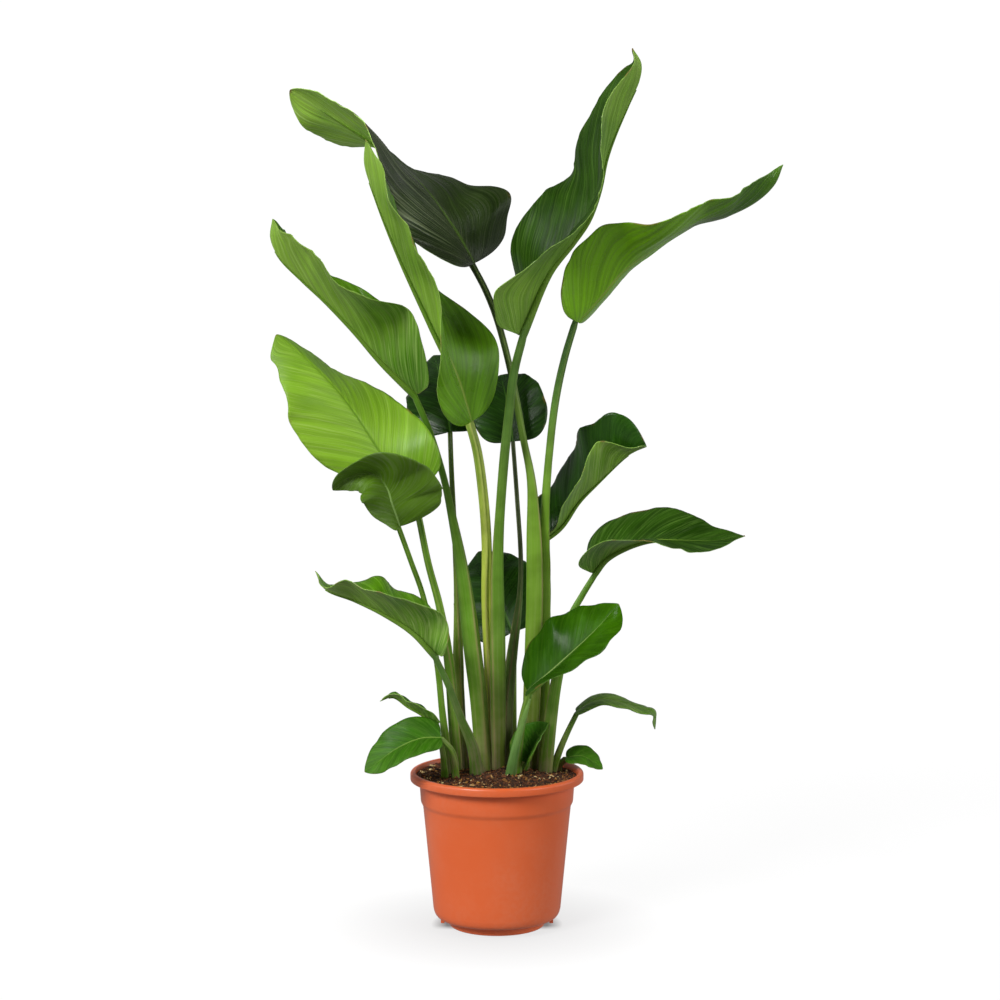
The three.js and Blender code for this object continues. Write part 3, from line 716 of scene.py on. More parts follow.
@dataclass
class Leaf:
    """One leaf: a blade on its stalk.

    right and left say how the two halves of the blade lean at even steps along the midrib:
    0 spreads a half flat, 90 points it forwards, and past 90 its underside shows. fullness and
    point say how blunt the blade's base and tip are, and lobe and sweep how far its base hangs
    back and its margins lead. tones says how light the blade is at even steps: partly the leaf's
    own colour and partly painted light and shade, lightening parts that face away from the lamps
    and darkening parts that lie in shade. widths says how wide the stalk is. bites are (half,
    place, depth, length) along the margins, where a negative depth makes a bulge.
    """

    name: str
    width: float
    stalk: Sequence[Point]
    midrib: Sequence[Point]
    right: Sequence[float]
    left: Sequence[float]
    stalk_width: float
    stalk_top: float
    upper: LeafFinish
    under: LeafFinish = PALE_BACK
    petiole: StalkFinish = PLAIN_STALK
    fullness: float = 0.36
    point: float = 0.8
    lobe: float = 0.03
    sweep: float = 0.1
    ripple: float = 2.5
    left_share: float = 1.0
    pleat: float = 1.0
    buckle: float = 1.6
    vein_lead: float = 0.2
    ragged: float = 1.0
    widths: Sequence[float] = ()
    groove: float | None = None
    slot: str = "leaf_green"
    tones: Sequence[float] = (0.5, 0.5)
    bites: Sequence[tuple[int, float, float, float]] = ()
    rows: int = 180
    columns: int = 22
    line: SmoothLine = field(init=False)

    CURL = -12.0
    WAVES = 4.0
    WAVE_SHIFT = 2.0
    RIDGES = 0.55
    THICKNESS = 0.9
    EDGE_MINIMUM = 1.2
    UNEVEN = ((0.016, 9, 0), (0.006, 34, 5))
    CALM_BY_RIB = (0.02, 0.4)
    CRIMPED_EDGE = (0.55, 1.0)
    DRY_TIP = (0.985, 1.0)
    DRY_EDGE = (0.95, 1.0)
    DRY_SPOTS = (0.45, 0.7)
    DRY_SHARE = 0.8
    LOBE_PLACE = 0.05
    CROSS_STEPS = 120
    KEEL = 5.0
    FURROW_DEPTH = 0.9
    FURROW_WIDTH = 4.4
    STALK_FOOT = 150.0
    STALK_DEPTH = 5.0
    STALK_RINGS = 70
    STALK_SIDES = 36
    FOOT_FLARE = 3.0
    FOOT_HEIGHT = 50.0
    FOOT_FADE = 80.0
    CLUMP_BACK = 10.0
    LEAST_DEPTH = 0.55
    GROOVE_TURNS = (0.15, 0.95)
    GROOVE_STARTS = (0.03, 0.3)
    GROOVE_DEPTH = 0.42
    GROOVE_WIDTH = 0.5
    GROOVE_EDGE = 0.75
    GROOVE_EDGE_WIDTH = 0.22
    SEAM = 0.8
    SEAM_WIDTH = 0.12
    SEAM_ENDS = (0.5, 0.68)
    SEAM_HEIGHT = 0.1
    FAINT_SEAM = 0.3
    RIB_END = 0.86
    RIB_ROWS = 40
    RIB_TIP = 0.7

    def __post_init__(self) -> None:
        """Trace the midrib."""
        self.line = SmoothLine(self.midrib)

    @property
    def seed(self) -> int:
        """Return the leaf's own number, for its random draws."""
        return int(self.name[-2:]) * 17

    def reach(self, t: np.ndarray, side: int) -> np.ndarray:
        """Work out how far a half reaches from the midrib, with its bites and bulges.

        Args:
            t: Places along the midrib.
            side: 1 for the right half and -1 for the left one.

        Returns:
            The reach at each place.
        """
        widest = self.fullness / (self.fullness + self.point)
        rise = (t / widest) ** self.fullness
        fall = ((1 - t) / (1 - widest)) ** self.point
        waves = (high * wander(t * often, self.seed + shift + side) for high, often, shift in self.UNEVEN)
        uneven = 1 + self.ragged * sum(waves)
        for half, place, depth, length in self.bites:
            if half == side:
                uneven -= depth * line_at(t - place, length)
        share = self.left_share if side < 0 else 1.0
        return np.maximum(self.width * rise * fall, self.EDGE_MINIMUM) * share * uneven

    def lead(self, t: np.ndarray) -> np.ndarray:
        """Return how far a vein's end lies ahead of its root."""
        back = t / self.LOBE_PLACE * np.exp(1 - t / self.LOBE_PLACE)
        return self.line.length * (self.sweep * np.sin(np.pi * t) - self.lobe * back)

    def lie(self, t: np.ndarray) -> tuple[np.ndarray, ...]:
        """Work out how the blade lies along its midrib.

        Args:
            t: Places along the midrib.

        Returns:
            The midrib's directions across and to the front, the way that the blade faces, how
            far it turns and how far its halves fold.
        """
        across, front = sides(self.line.forward(t))
        right, left = np.radians(along(self.right, t)), np.radians(along(self.left, t))
        turn, fold = (left - right) / 2, (left + right) / 2
        up = front * np.cos(turn)[:, None] + across * np.sin(turn)[:, None]
        return across, front, up, turn, fold

    def half(self, t: np.ndarray, v: np.ndarray, side: int) -> np.ndarray:
        """Lay out one half of the blade.

        Args:
            t: Places along the midrib.
            v: Places across, from 0 at the midrib to 1 at the margin.
            side: 1 for the right half and -1 for the left one.

        Returns:
            The points, by place along and place across.
        """
        across, front, up, turn, fold = self.lie(t)
        reach = self.reach(t, side)
        fine = np.linspace(0, 1, self.CROSS_STEPS + 1)
        spread = fold[:, None] * smooth(-0.2, 1, fine[None] * reach[:, None] / self.KEEL)
        bend = math.radians(self.CURL) * (2 * fine[None] - 1)
        lean = (turn if side < 0 else -turn)[:, None] + spread + bend
        run, climb = (np.cumsum(f(lean), axis=1) - f(lean) / 2 for f in (np.cos, np.sin))
        run, climb = ((x - x[:, :1]) / self.CROSS_STEPS for x in (run, climb))
        run, climb = (np.stack([np.interp(v, fine, row) for row in x]) for x in (run, climb))
        wave = np.sin(math.tau * self.WAVES * t + self.WAVE_SHIFT * side)
        wave = (wave + 0.5 * wander(t * 13, self.seed + 9 + side)) * np.sin(np.pi * t)
        ahead = self.line.forward(t)[:, None] * (self.lead(t)[:, None] * v)[..., None]
        points = self.line.at(t)[:, None] + ahead
        points += across[:, None] * (side * run * reach[:, None])[..., None]
        points += front[:, None] * (climb * reach[:, None])[..., None]
        return points + up[:, None] * (self.ripple * wave[:, None] * v**2)[..., None]

    def vein_place(self, t: np.ndarray, u: np.ndarray) -> np.ndarray:
        """Return which vein a point lies on, in centimetres along the midrib."""
        return self.line.length * (t[:, None] - self.vein_lead * np.abs(u)[None] ** 0.8) / 10

    def relief(self, t: np.ndarray, u: np.ndarray, place: np.ndarray) -> np.ndarray:
        """Work out the height of the blade's pleats, swellings and dimples.

        Args:
            t: Places along the midrib.
            u: Places across, from -1 at the left margin to 1 at the right one.
            place: Which vein each point lies on.

        Returns:
            The height at each point.
        """
        calm = smooth(*self.CALM_BY_RIB, np.abs(u))[None] * (np.sin(np.pi * t) ** 0.7)[:, None]
        crest = crests(place * self.RIDGES, self.seed) * calm
        swell = 0.6 * wander(place * 0.5, self.seed + 3) + 0.4 * wander(place * 1.3, self.seed + 4)
        buckle = wander(t * 7 + 31, self.seed + 12)[:, None] * wander(u * 2.2 + 31, self.seed + 13)[None]
        crinkle = wander(place * 1.9, self.seed + 14) * smooth(*self.CRIMPED_EDGE, np.abs(u))[None]
        return (self.pleat * (0.8 * crest + swell + 0.2 * crinkle) + self.buckle * buckle) * calm

    def blade(self) -> Piece:
        """Build the blade's two faces and its thin margin.

        Returns:
            The blade.
        """
        t = (1 - np.cos(np.pi * np.linspace(0, 1, self.rows + 1))) / 2
        v = (np.arange(self.columns + 1) / self.columns) ** 1.2
        grid = np.concatenate([self.half(t, v[:0:-1], -1), self.half(t, v, 1)], axis=1)
        u = np.concatenate([-v[:0:-1], v])
        left_veins = np.where(u < 0, 40, 0)
        place = self.vein_place(t, u) + 100 + left_veins[None]
        normal = unit(np.cross(np.gradient(grid, axis=1), np.gradient(grid, axis=0)))
        grid = grid + normal * self.relief(t, u, place)[..., None]
        width = np.abs(u)[None] * self.reach(t, 1)[:, None]
        furrow = self.FURROW_DEPTH * line_at(width, self.FURROW_WIDTH / 2) * (1 - t[:, None])
        normal = unit(np.cross(np.gradient(grid, axis=1), np.gradient(grid, axis=0)))
        top, bottom = (grid + normal * (side * self.THICKNESS / 2 - furrow)[..., None] for side in (1, -1))
        n, m = grid.shape[:2]
        index = np.arange(n * m).reshape(n, m)
        a, b, c, d = (x.ravel() for x in (index[:-1, :-1], index[:-1, 1:], index[1:, 1:], index[1:, :-1]))
        edge = np.concatenate([index[0], index[1:, -1], index[-1, -2::-1], index[-2:0:-1, 0]])
        after = np.roll(edge, -1)
        margin = np.stack([edge, edge + n * m, after + n * m, after], 1)
        faces = np.concatenate([np.stack([a, b, c, d], 1), np.stack([a, d, c, b], 1) + n * m, margin])
        slots = np.arange(len(faces)) >= len(a)
        flat = np.arange(len(faces)) >= 2 * len(a)
        spots = smooth(*self.DRY_SPOTS, wander(t * 23, self.seed + 60))[:, None]
        spots = spots * smooth(*self.DRY_EDGE, np.abs(u))[None] * self.DRY_SHARE
        dry = np.maximum(smooth(*self.DRY_TIP, t)[:, None], spots)
        # the tone mark is partly the leaf's own colour and partly painted light and shade along the blade
        tone = along(self.tones, t)[:, None]
        marks = {"across": u[None], "along": t[:, None], "vein": place, "tone": tone, "dry": dry}
        points = np.concatenate([top.reshape(-1, 3), bottom.reshape(-1, 3)])
        piece = build_mesh(self.name + "_paddle", points, faces.tolist(), grid_marks(marks, (n, m), 2),
                           slots.astype(int), flat)
        for finish in (self.upper, self.under):
            piece.data.materials.append(finish.material())
        return piece

    def sections(self, t: np.ndarray, foot: np.ndarray) -> tuple[np.ndarray, np.ndarray]:
        """Work out how thick the stalk is.

        Args:
            t: Places along the stalk.
            foot: How much each place belongs to the stalk's foot.

        Returns:
            Half the width and half the depth at each place.
        """
        fade = (1 - t) ** 2
        wide = self.stalk_top + (self.stalk_width - self.stalk_top) * fade + self.FOOT_FLARE * foot
        deep = self.stalk_top + (min(self.stalk_width, self.STALK_DEPTH) - self.stalk_top) * fade
        if self.widths:
            wide = along(self.widths, t)
            deep = np.maximum(deep, self.LEAST_DEPTH * wide)
        return wide, deep

    def stem(self) -> Piece:
        """Build the stalk, with its groove, and the rib that it becomes under the blade.

        Returns:
            The stalk.
        """
        rib_t = np.linspace(0, self.RIB_END, self.RIB_ROWS)
        rib_across, rib_front, up, turn, fold = self.lie(rib_t)
        radius = self.stalk_top + (self.RIB_TIP - self.stalk_top) * rib_t / self.RIB_END
        room = np.maximum(np.cos(np.minimum(fold - 0.2, 0)), 0.5)
        rib = self.line.at(rib_t) - up * ((radius * 0.8 + 0.4) / room)[:, None]
        x, y = self.stalk[0][:2]
        line = SmoothLine([(x, y, self.STALK_FOOT), *self.stalk, tuple(rib[0])])
        t = np.arange(self.STALK_RINGS) / self.STALK_RINGS
        height = line.at(t)[:, 2] - self.STALK_FOOT
        foot = np.exp(-np.maximum(height - self.FOOT_HEIGHT, 0) / self.FOOT_FADE)
        wide, deep = (np.concatenate([part, radius]) for part in self.sections(t, foot))
        across, front = sides(line.forward(t))
        across, front = np.concatenate([across, rib_across]), np.concatenate([front, rib_front])
        place = np.concatenate([t, np.ones(self.RIB_ROWS)])
        rib_place = np.concatenate([np.zeros(len(t)), rib_t])
        if self.groove is None:
            to_middle = unit(np.array([[-x, self.CLUMP_BACK - y, 0.0]]))
            foot_turn = math.atan2(float(to_middle[0, 0]), float(-to_middle[0, 1]))
        else:
            foot_turn = math.radians(self.groove)
        delta = (float(turn[0]) - foot_turn + math.pi) % math.tau - math.pi
        angle = np.arange(self.STALK_SIDES) * math.tau / self.STALK_SIDES
        off = turned_from(angle, foot_turn + delta * smooth(*self.GROOVE_TURNS, place))
        depth = self.GROOVE_DEPTH * smooth(*self.GROOVE_STARTS, place) * (1 - rib_place / self.RIB_END)
        seam = line_at(np.abs(off) - self.SEAM, self.SEAM_WIDTH) * (1.0 if self.widths else self.FAINT_SEAM)
        seam = seam * (1 - smooth(*self.SEAM_ENDS, place)[:, None])
        pull = 1 - depth[:, None] * line_at(off, self.GROOVE_WIDTH) + self.SEAM_HEIGHT * seam
        edge = line_at(np.abs(off) - self.GROOVE_EDGE, self.GROOVE_EDGE_WIDTH)
        at = np.concatenate([line.at(t), rib])
        points = tube_points(at, across, front, angle, wide[:, None] * pull, deep[:, None] * pull)
        marks = {
            "along": place[:, None],
            "around": (angle / math.tau)[None],
            "edge": edge * smooth(0.02, 0.2, place)[:, None],
            "seam": seam,
            "foot": np.concatenate([foot, np.zeros(self.RIB_ROWS)])[:, None],
            "rib": smooth(0, 0.08, rib_place)[:, None],
        }
        shape = (len(at), self.STALK_SIDES)
        piece = build_mesh(self.name + "_petiole", points, tube_faces(*shape), grid_marks(marks, shape))
        piece.data.materials.append(self.petiole.material())
        return piece

    def build(self) -> None:
        """Build and dress the blade and the stalk."""
        blade, stem = self.blade(), self.stem()
        for piece, node, slot in ((blade, "_blade", self.slot), (stem, "_stalk", "stalk")):
            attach(piece, BODY)
            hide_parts(self.name + node)
        LOG.info("%s: %d faces", self.name, len(blade.data.polygons) + len(stem.data.polygons))


@dataclass
class NewLeaf:
    """The rolled new leaf: a tapering spear with the roll's free edge winding up it."""

    line: Sequence[Point] = ((19, -24, 150), (18, -30, 205), (22, -44, 240), (30, -54, 278), (45, -57, 328))
    radii: Sequence[float] = (8, 8.5, 8.5, 8, 7.5, 7, 6.2, 5.6, 5, 4.2, 3, 1.2)
    depth: float = 0.7
    rings: int = 80
    count: int = 28
    edge_start: float = 0.9
    edge_winding: float = 1.1
    edge_step: float = 0.13
    finish: StalkFinish = StalkFinish("spear_green", 0x5E7038, 0x56803A, 0x6C9440, 0x86A062)

    def build(self) -> None:
        """Build and dress the spear."""
        t = np.linspace(0, 1, self.rings)
        line = SmoothLine(self.line)
        angle = np.arange(self.count) * math.tau / self.count
        off = turned_from(angle, self.edge_start + self.edge_winding * t)
        step = 1 - self.edge_step * smooth(0.0, 0.35, off) * smooth(2.4, 0.4, off)
        wide = along(self.radii, t)[:, None] * step
        marks = {"along": t[:, None], "around": (angle / math.tau)[None], "edge": line_at(off, 0.2)}
        points = tube_points(line.at(t), *sides(line.forward(t)), angle, wide, wide * self.depth)
        shape = (self.rings, self.count)
        piece = build_mesh("rolled_new_leaf", points, tube_faces(*shape), grid_marks(marks, shape))
        piece.data.materials.append(self.finish.material())
        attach(piece, BODY)
        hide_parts("new_leaf")
        LOG.info("rolled new leaf: %d faces", len(piece.data.polygons))


@dataclass
class NurseryPot:
    """The plastic nursery pot, with its rim, collar, foot, legs and drain holes.

    drains are (how many, radius of their circle).
    """

    height: float = 217.0
    rim_radius: float = 120.0
    rim_foot: float = 205.0
    rim_roll: float = 4.0
    rim_edge: float = 1.5
    opening_radius: float = 112.5
    collar_top: float = 107.5
    collar_low: float = 105.5
    collar_foot: float = 173.0
    body_top: float = 102.5
    body_low: float = 88.5
    body_foot: float = 25.0
    corner: float = 79.5
    bend_width: float = 9.0
    bend_height: float = 15.0
    floor: float = 12.5
    foot: float = 66.0
    wall: float = 2.5
    floor_thickness: float = 3.0
    drains: Sequence[tuple[int, float]] = ((8, 70.0), (4, 38.0))
    drain_radius: float = 4.0
    drain_sides: int = 24
    drill_below: float = 5.0
    drill_above: float = 9.0
    leg_start: float = 89.0
    leg_end: float = 139.0
    leg_rings: int = 24
    leg_outline: Sequence[Spot] = (
        (73, 1.4), (73.4, 1), (77.9, 1), (78.3, 1.4), (78.3, 14), (73, 14),
    )
    segments: int = 160
    sharp_edge: float = 38.0
    sharp_leg_edge: float = 30.0
    finish: PlasticFinish = PlasticFinish()

    def outline(self) -> list[Spot]:
        """List the wall's outline from the middle of the foot round to the inner floor.

        Returns:
            The radius and the height of each point.
        """
        def arc(radius: float, height: float, wide: float, high: float, start: int, end: int) -> list[Spot]:
            """List points on an arc, 15 degrees apart, by the middle and half sizes of its ellipse."""
            turns = map(math.radians, range(start, end, 15))
            return [(radius + wide * math.cos(a), height + high * math.sin(a)) for a in turns]

        bend = arc(self.corner, self.floor + self.bend_height, self.bend_width, self.bend_height, -90, 0)
        edge, roll = self.rim_edge, self.rim_roll
        lower = arc(self.rim_radius - edge, self.rim_foot + edge, edge, edge, -75, 0)
        upper = arc(self.rim_radius - roll, self.height - roll, roll, roll, 0, 91)
        inner, inner_floor = self.wall, self.floor + self.floor_thickness
        return [
            (0, 0), (self.foot - 4, 0), (self.foot - 1, 0.2), (self.foot, 1.2), (self.foot, self.floor - 0.6),
            (self.foot + 0.6, self.floor), (self.corner - 3, self.floor), *bend,
            (self.body_low, self.body_foot), (self.body_low + 2, 46), (self.body_top - 2, 150),
            (self.body_top - 0.1, self.collar_foot - 5), (self.body_top + 0.4, self.collar_foot - 2.5),
            (self.collar_low - 1.3, self.collar_foot - 0.3), (self.collar_low - 0.3, self.collar_foot + 1.7),
            (self.collar_low + 0.2, self.collar_foot + 4.2), (self.collar_low + 1.3, 193),
            (self.collar_top - 0.4, self.rim_foot - 1.4), (self.collar_top + 1, self.rim_foot),
            (self.rim_radius - 3, self.rim_foot), *lower, *upper,
            (self.opening_radius + 1.4, self.height - 0.3), (self.opening_radius, self.height - 2),
            (self.opening_radius - 0.8, self.rim_foot + 3), (self.opening_radius - 2, self.rim_foot + 2),
            (self.collar_top - inner + 1, self.rim_foot + 1.2), (self.collar_top - inner, self.rim_foot - 1),
            (self.collar_low - inner, self.collar_foot), (self.body_top - inner, self.collar_foot - 2),
            (self.body_low - inner, self.body_foot), (self.corner - inner, inner_floor), (0, inner_floor),
        ]

    def drill(self, piece: Piece) -> None:
        """Drill the drain holes through the floor of the pot.

        Args:
            piece: The pot.
        """
        points, faces = [], []
        turns = np.arange(self.drain_sides) * math.tau / self.drain_sides
        ring = self.drain_radius * np.stack([np.cos(turns), np.sin(turns), 0 * turns], 1)
        for count, circle in self.drains:
            for angle in math.tau * (np.arange(count) + 0.5) / count:
                start = self.drain_sides * len(points)
                for z in (-self.drill_below, self.floor + self.drill_above):
                    points.append(ring + (circle * math.cos(angle), circle * math.sin(angle), z))
                faces += [tuple(start + i for i in face) for face in tube_faces(2, self.drain_sides)]
        cutter = build_mesh("drain_cutter", np.concatenate(points), faces)
        hole = piece.modifiers.new("drain", "BOOLEAN")
        hole.operation, hole.solver, hole.object = "DIFFERENCE", "EXACT", cutter
        bpy.context.view_layer.update()
        evaluated = piece.evaluated_get(bpy.context.evaluated_depsgraph_get())
        mesh = bpy.data.meshes.new_from_object(evaluated)
        piece.modifiers.clear()
        piece.data = mesh
        bpy.data.objects.remove(cutter)

    def body(self) -> Piece:
        """Turn the wall about its axis.

        Returns:
            The pot without its legs.
        """
        outline = self.outline()
        angle = np.arange(self.segments) * math.tau / self.segments
        points = [(0.0, 0.0, outline[0][1])]
        for r, z in outline[1:-1]:
            points += [(r * math.cos(a), r * math.sin(a), z) for a in angle]
        points.append((0.0, 0.0, outline[-1][1]))
        piece = build_mesh("pot_wall", np.array(points), turned_faces(len(outline) - 2, self.segments))
        self.drill(piece)
        piece.data.set_sharp_from_angle(angle=math.radians(self.sharp_edge))
        return piece

    def leg(self, side: int) -> Piece:
        """Bend one low leg under the corner.

        Args:
            side: 1 for the right leg and -1 for the left one.

        Returns:
            The leg.
        """
        rows = []
        for a in np.radians(np.linspace(self.leg_start, self.leg_end, self.leg_rings)):
            rows += [(side * r * math.sin(a), -r * math.cos(a), z) for r, z in self.leg_outline]
        name = "pot_leg_right" if side > 0 else "pot_leg_left"
        piece = build_mesh(name, np.array(rows), tube_faces(self.leg_rings, len(self.leg_outline)))
        piece.data.set_sharp_from_angle(angle=math.radians(self.sharp_leg_edge))
        return piece

    def build(self) -> None:
        """Build and dress the pot."""
        wall = self.body()
        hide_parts("pot")
        for piece in (wall, self.leg(1), self.leg(-1)):
            piece.data.materials.clear()
            piece.data.materials.append(self.finish.material())
            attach(piece, BODY)
            LOG.info("%s: %d faces", piece.name, len(piece.data.polygons))


@dataclass
class Soil:
    """The mound of bark soil and the loose bits of bark that lie on it.

    below lists the radius and height of the rings under the mound, down the pot's wall. A bit's
    width and thickness are shares of its length, and BOX lists the faces of one bit.
    """

    edge_height: float = 208.0
    mound: float = 11.0
    back_dip: float = 7.0
    dip_way: Spot = (0.55, 0.8)
    lump: float = 2.2
    waves: Sequence[Spot] = ((9, 4), (-3, 8), (17, -11))
    edge: float = 111.2
    rings: int = 90
    segments: int = 240
    edge_rise: float = 3.5
    crumb: float = 1.6
    crumbs_across: float = 14.0
    below: Sequence[Spot] = (
        (111.0, 208.6), (105.8, 207.4), (104.6, 203.0), (102.4, 174.0), (99.4, 170.0), (85.2, 26.0),
        (76.2, 15.9),
    )
    bottom: float = 14.4
    bits: int = 5200
    bit_lengths: Sequence[float] = (1.5, 1.5, 2, 2, 2.5, 3, 3, 4, 6)
    bit_stretch: tuple[float, float] = (0.8, 1.3)
    bit_width: tuple[float, float] = (0.2, 0.7)
    bit_thickness: tuple[float, float] = (0.1, 0.35)
    bit_thinnest: float = 0.5
    bit_corners: tuple[float, float] = (0.45, 1.1)
    bit_tip: float = 0.35
    bit_roll: float = 0.5
    bit_lift: float = 1.4
    bit_reach: float = 0.985
    finish: SoilFinish = SoilFinish("bark_soil", 0x1C0D05, 0x4E2C14, 0x6A3E1C, 0x8A5A2E)
    loose: SoilFinish = SoilFinish("bark_bits", 0x22110A, 0x6A3C1C, 0xA87434, 0xE4C88C)

    BOX = ((0, 1, 3, 2), (4, 6, 7, 5), (0, 4, 5, 1), (2, 3, 7, 6), (0, 2, 6, 4), (1, 5, 7, 3))

    def top(self, x: np.ndarray, y: np.ndarray) -> np.ndarray:
        """Work out the soil's height, crumbs and all.

        Args:
            x: Places to the right, as shares of the soil's radius.
            y: Places to the back, as shares of the soil's radius.

        Returns:
            The heights.
        """
        r = np.hypot(x, y)
        dip = self.back_dip * np.maximum(0, self.dip_way[0] * x + self.dip_way[1] * y) ** 2 * r
        a, b, c = (p * x + q * y for p, q in self.waves)
        lump = self.lump * (np.sin(a) * np.cos(b) + np.sin(c) / 2)
        height = self.edge_height + self.mound * (1 - r * r) - dip + lump * (1 - r**6)
        spots = (Vector((*spot, 0)) * self.crumbs_across for spot in zip(x.ravel(), y.ravel()))
        rough = [noise.fractal(spot, 1.0, 2.0, 3) for spot in spots]
        crumbs = self.crumb * np.reshape(rough, x.shape) * np.minimum(1.0, 12 * (1.02 - r))
        return height + crumbs + self.edge_rise * smooth(0.8, 1.0, r)

    def bed(self) -> Piece:
        """Build the mound with its crumbly top.

        Returns:
            The mound.
        """
        r = np.linspace(0, 1, self.rings + 1)[1:]
        angle = np.arange(self.segments) * math.tau / self.segments
        x, y = r[:, None] * np.cos(angle), r[:, None] * np.sin(angle)
        rows = [np.stack([x * self.edge, y * self.edge, self.top(x, y)], -1).reshape(-1, 3)]
        for radius, height in self.below:
            level = np.full(self.segments, height)
            rows.append(np.stack([radius * np.cos(angle), radius * np.sin(angle), level], -1))
        middle = [[0, 0, self.edge_height + self.mound]]
        points = np.concatenate([middle, *rows, [[0, 0, self.bottom]]])
        outward = turned_faces(self.rings + len(self.below), self.segments)
        faces = [(face[0], *face[:0:-1]) for face in outward]
        draw = random.Random(3)
        marks = {"bit": np.array([draw.uniform(0, 0.75) for _ in range(len(points))])}
        return build_mesh("soil_bed", points, faces, marks)

    def bark(self) -> Piece:
        """Scatter loose bits of bark over the mound, each a small crooked wedge.

        Returns:
            All the bits as one piece.
        """
        draw = random.Random(11)
        points, shades = [], []
        inside = self.edge * self.bit_reach
        box = np.array([[i, j, k] for i in (-1, 1) for j in (-1, 1) for k in (-1, 1)], float)
        for _ in range(self.bits):
            r, a = math.sqrt(draw.random()) * self.bit_reach, draw.uniform(0, math.tau)
            x, y = r * math.cos(a), r * math.sin(a)
            length = draw.choice(self.bit_lengths) * draw.uniform(*self.bit_stretch)
            width = length * draw.uniform(*self.bit_width)
            depth = max(self.bit_thinnest, length * draw.uniform(*self.bit_thickness))
            crooked = np.array([[draw.uniform(*self.bit_corners) for _ in range(3)] for _ in range(8)])
            spin = draw.uniform(0, math.tau)
            tip, roll = draw.gauss(0, self.bit_tip), draw.gauss(0, self.bit_roll)
            turn = np.array(Euler((roll, tip, spin)).to_matrix())
            ground = float(self.top(np.array([x]), np.array([y]))[0]) + draw.uniform(0.0, self.bit_lift)
            centre = np.array([x * inside, y * inside, ground])
            points.append(box * (np.array([length, width, depth]) / 2) * crooked @ turn.T + centre)
            shades += [draw.random() ** 0.8] * 8
        faces = [tuple(8 * bit + i for i in face) for bit in range(self.bits) for face in self.BOX]
        marks = {"bit": np.array(shades)}
        return build_mesh("bark_bits", np.concatenate(points), faces, marks, flat=[True] * len(faces))

    def build(self) -> None:
        """Build and dress the soil."""
        bed, bark = self.bed(), self.bark()
        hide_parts("soil")
        for piece, finish in ((bed, self.finish), (bark, self.loose)):
            piece.data.materials.append(finish.material())
            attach(piece, BODY)
            LOG.info("%s: %d faces", piece.name, len(piece.data.polygons))


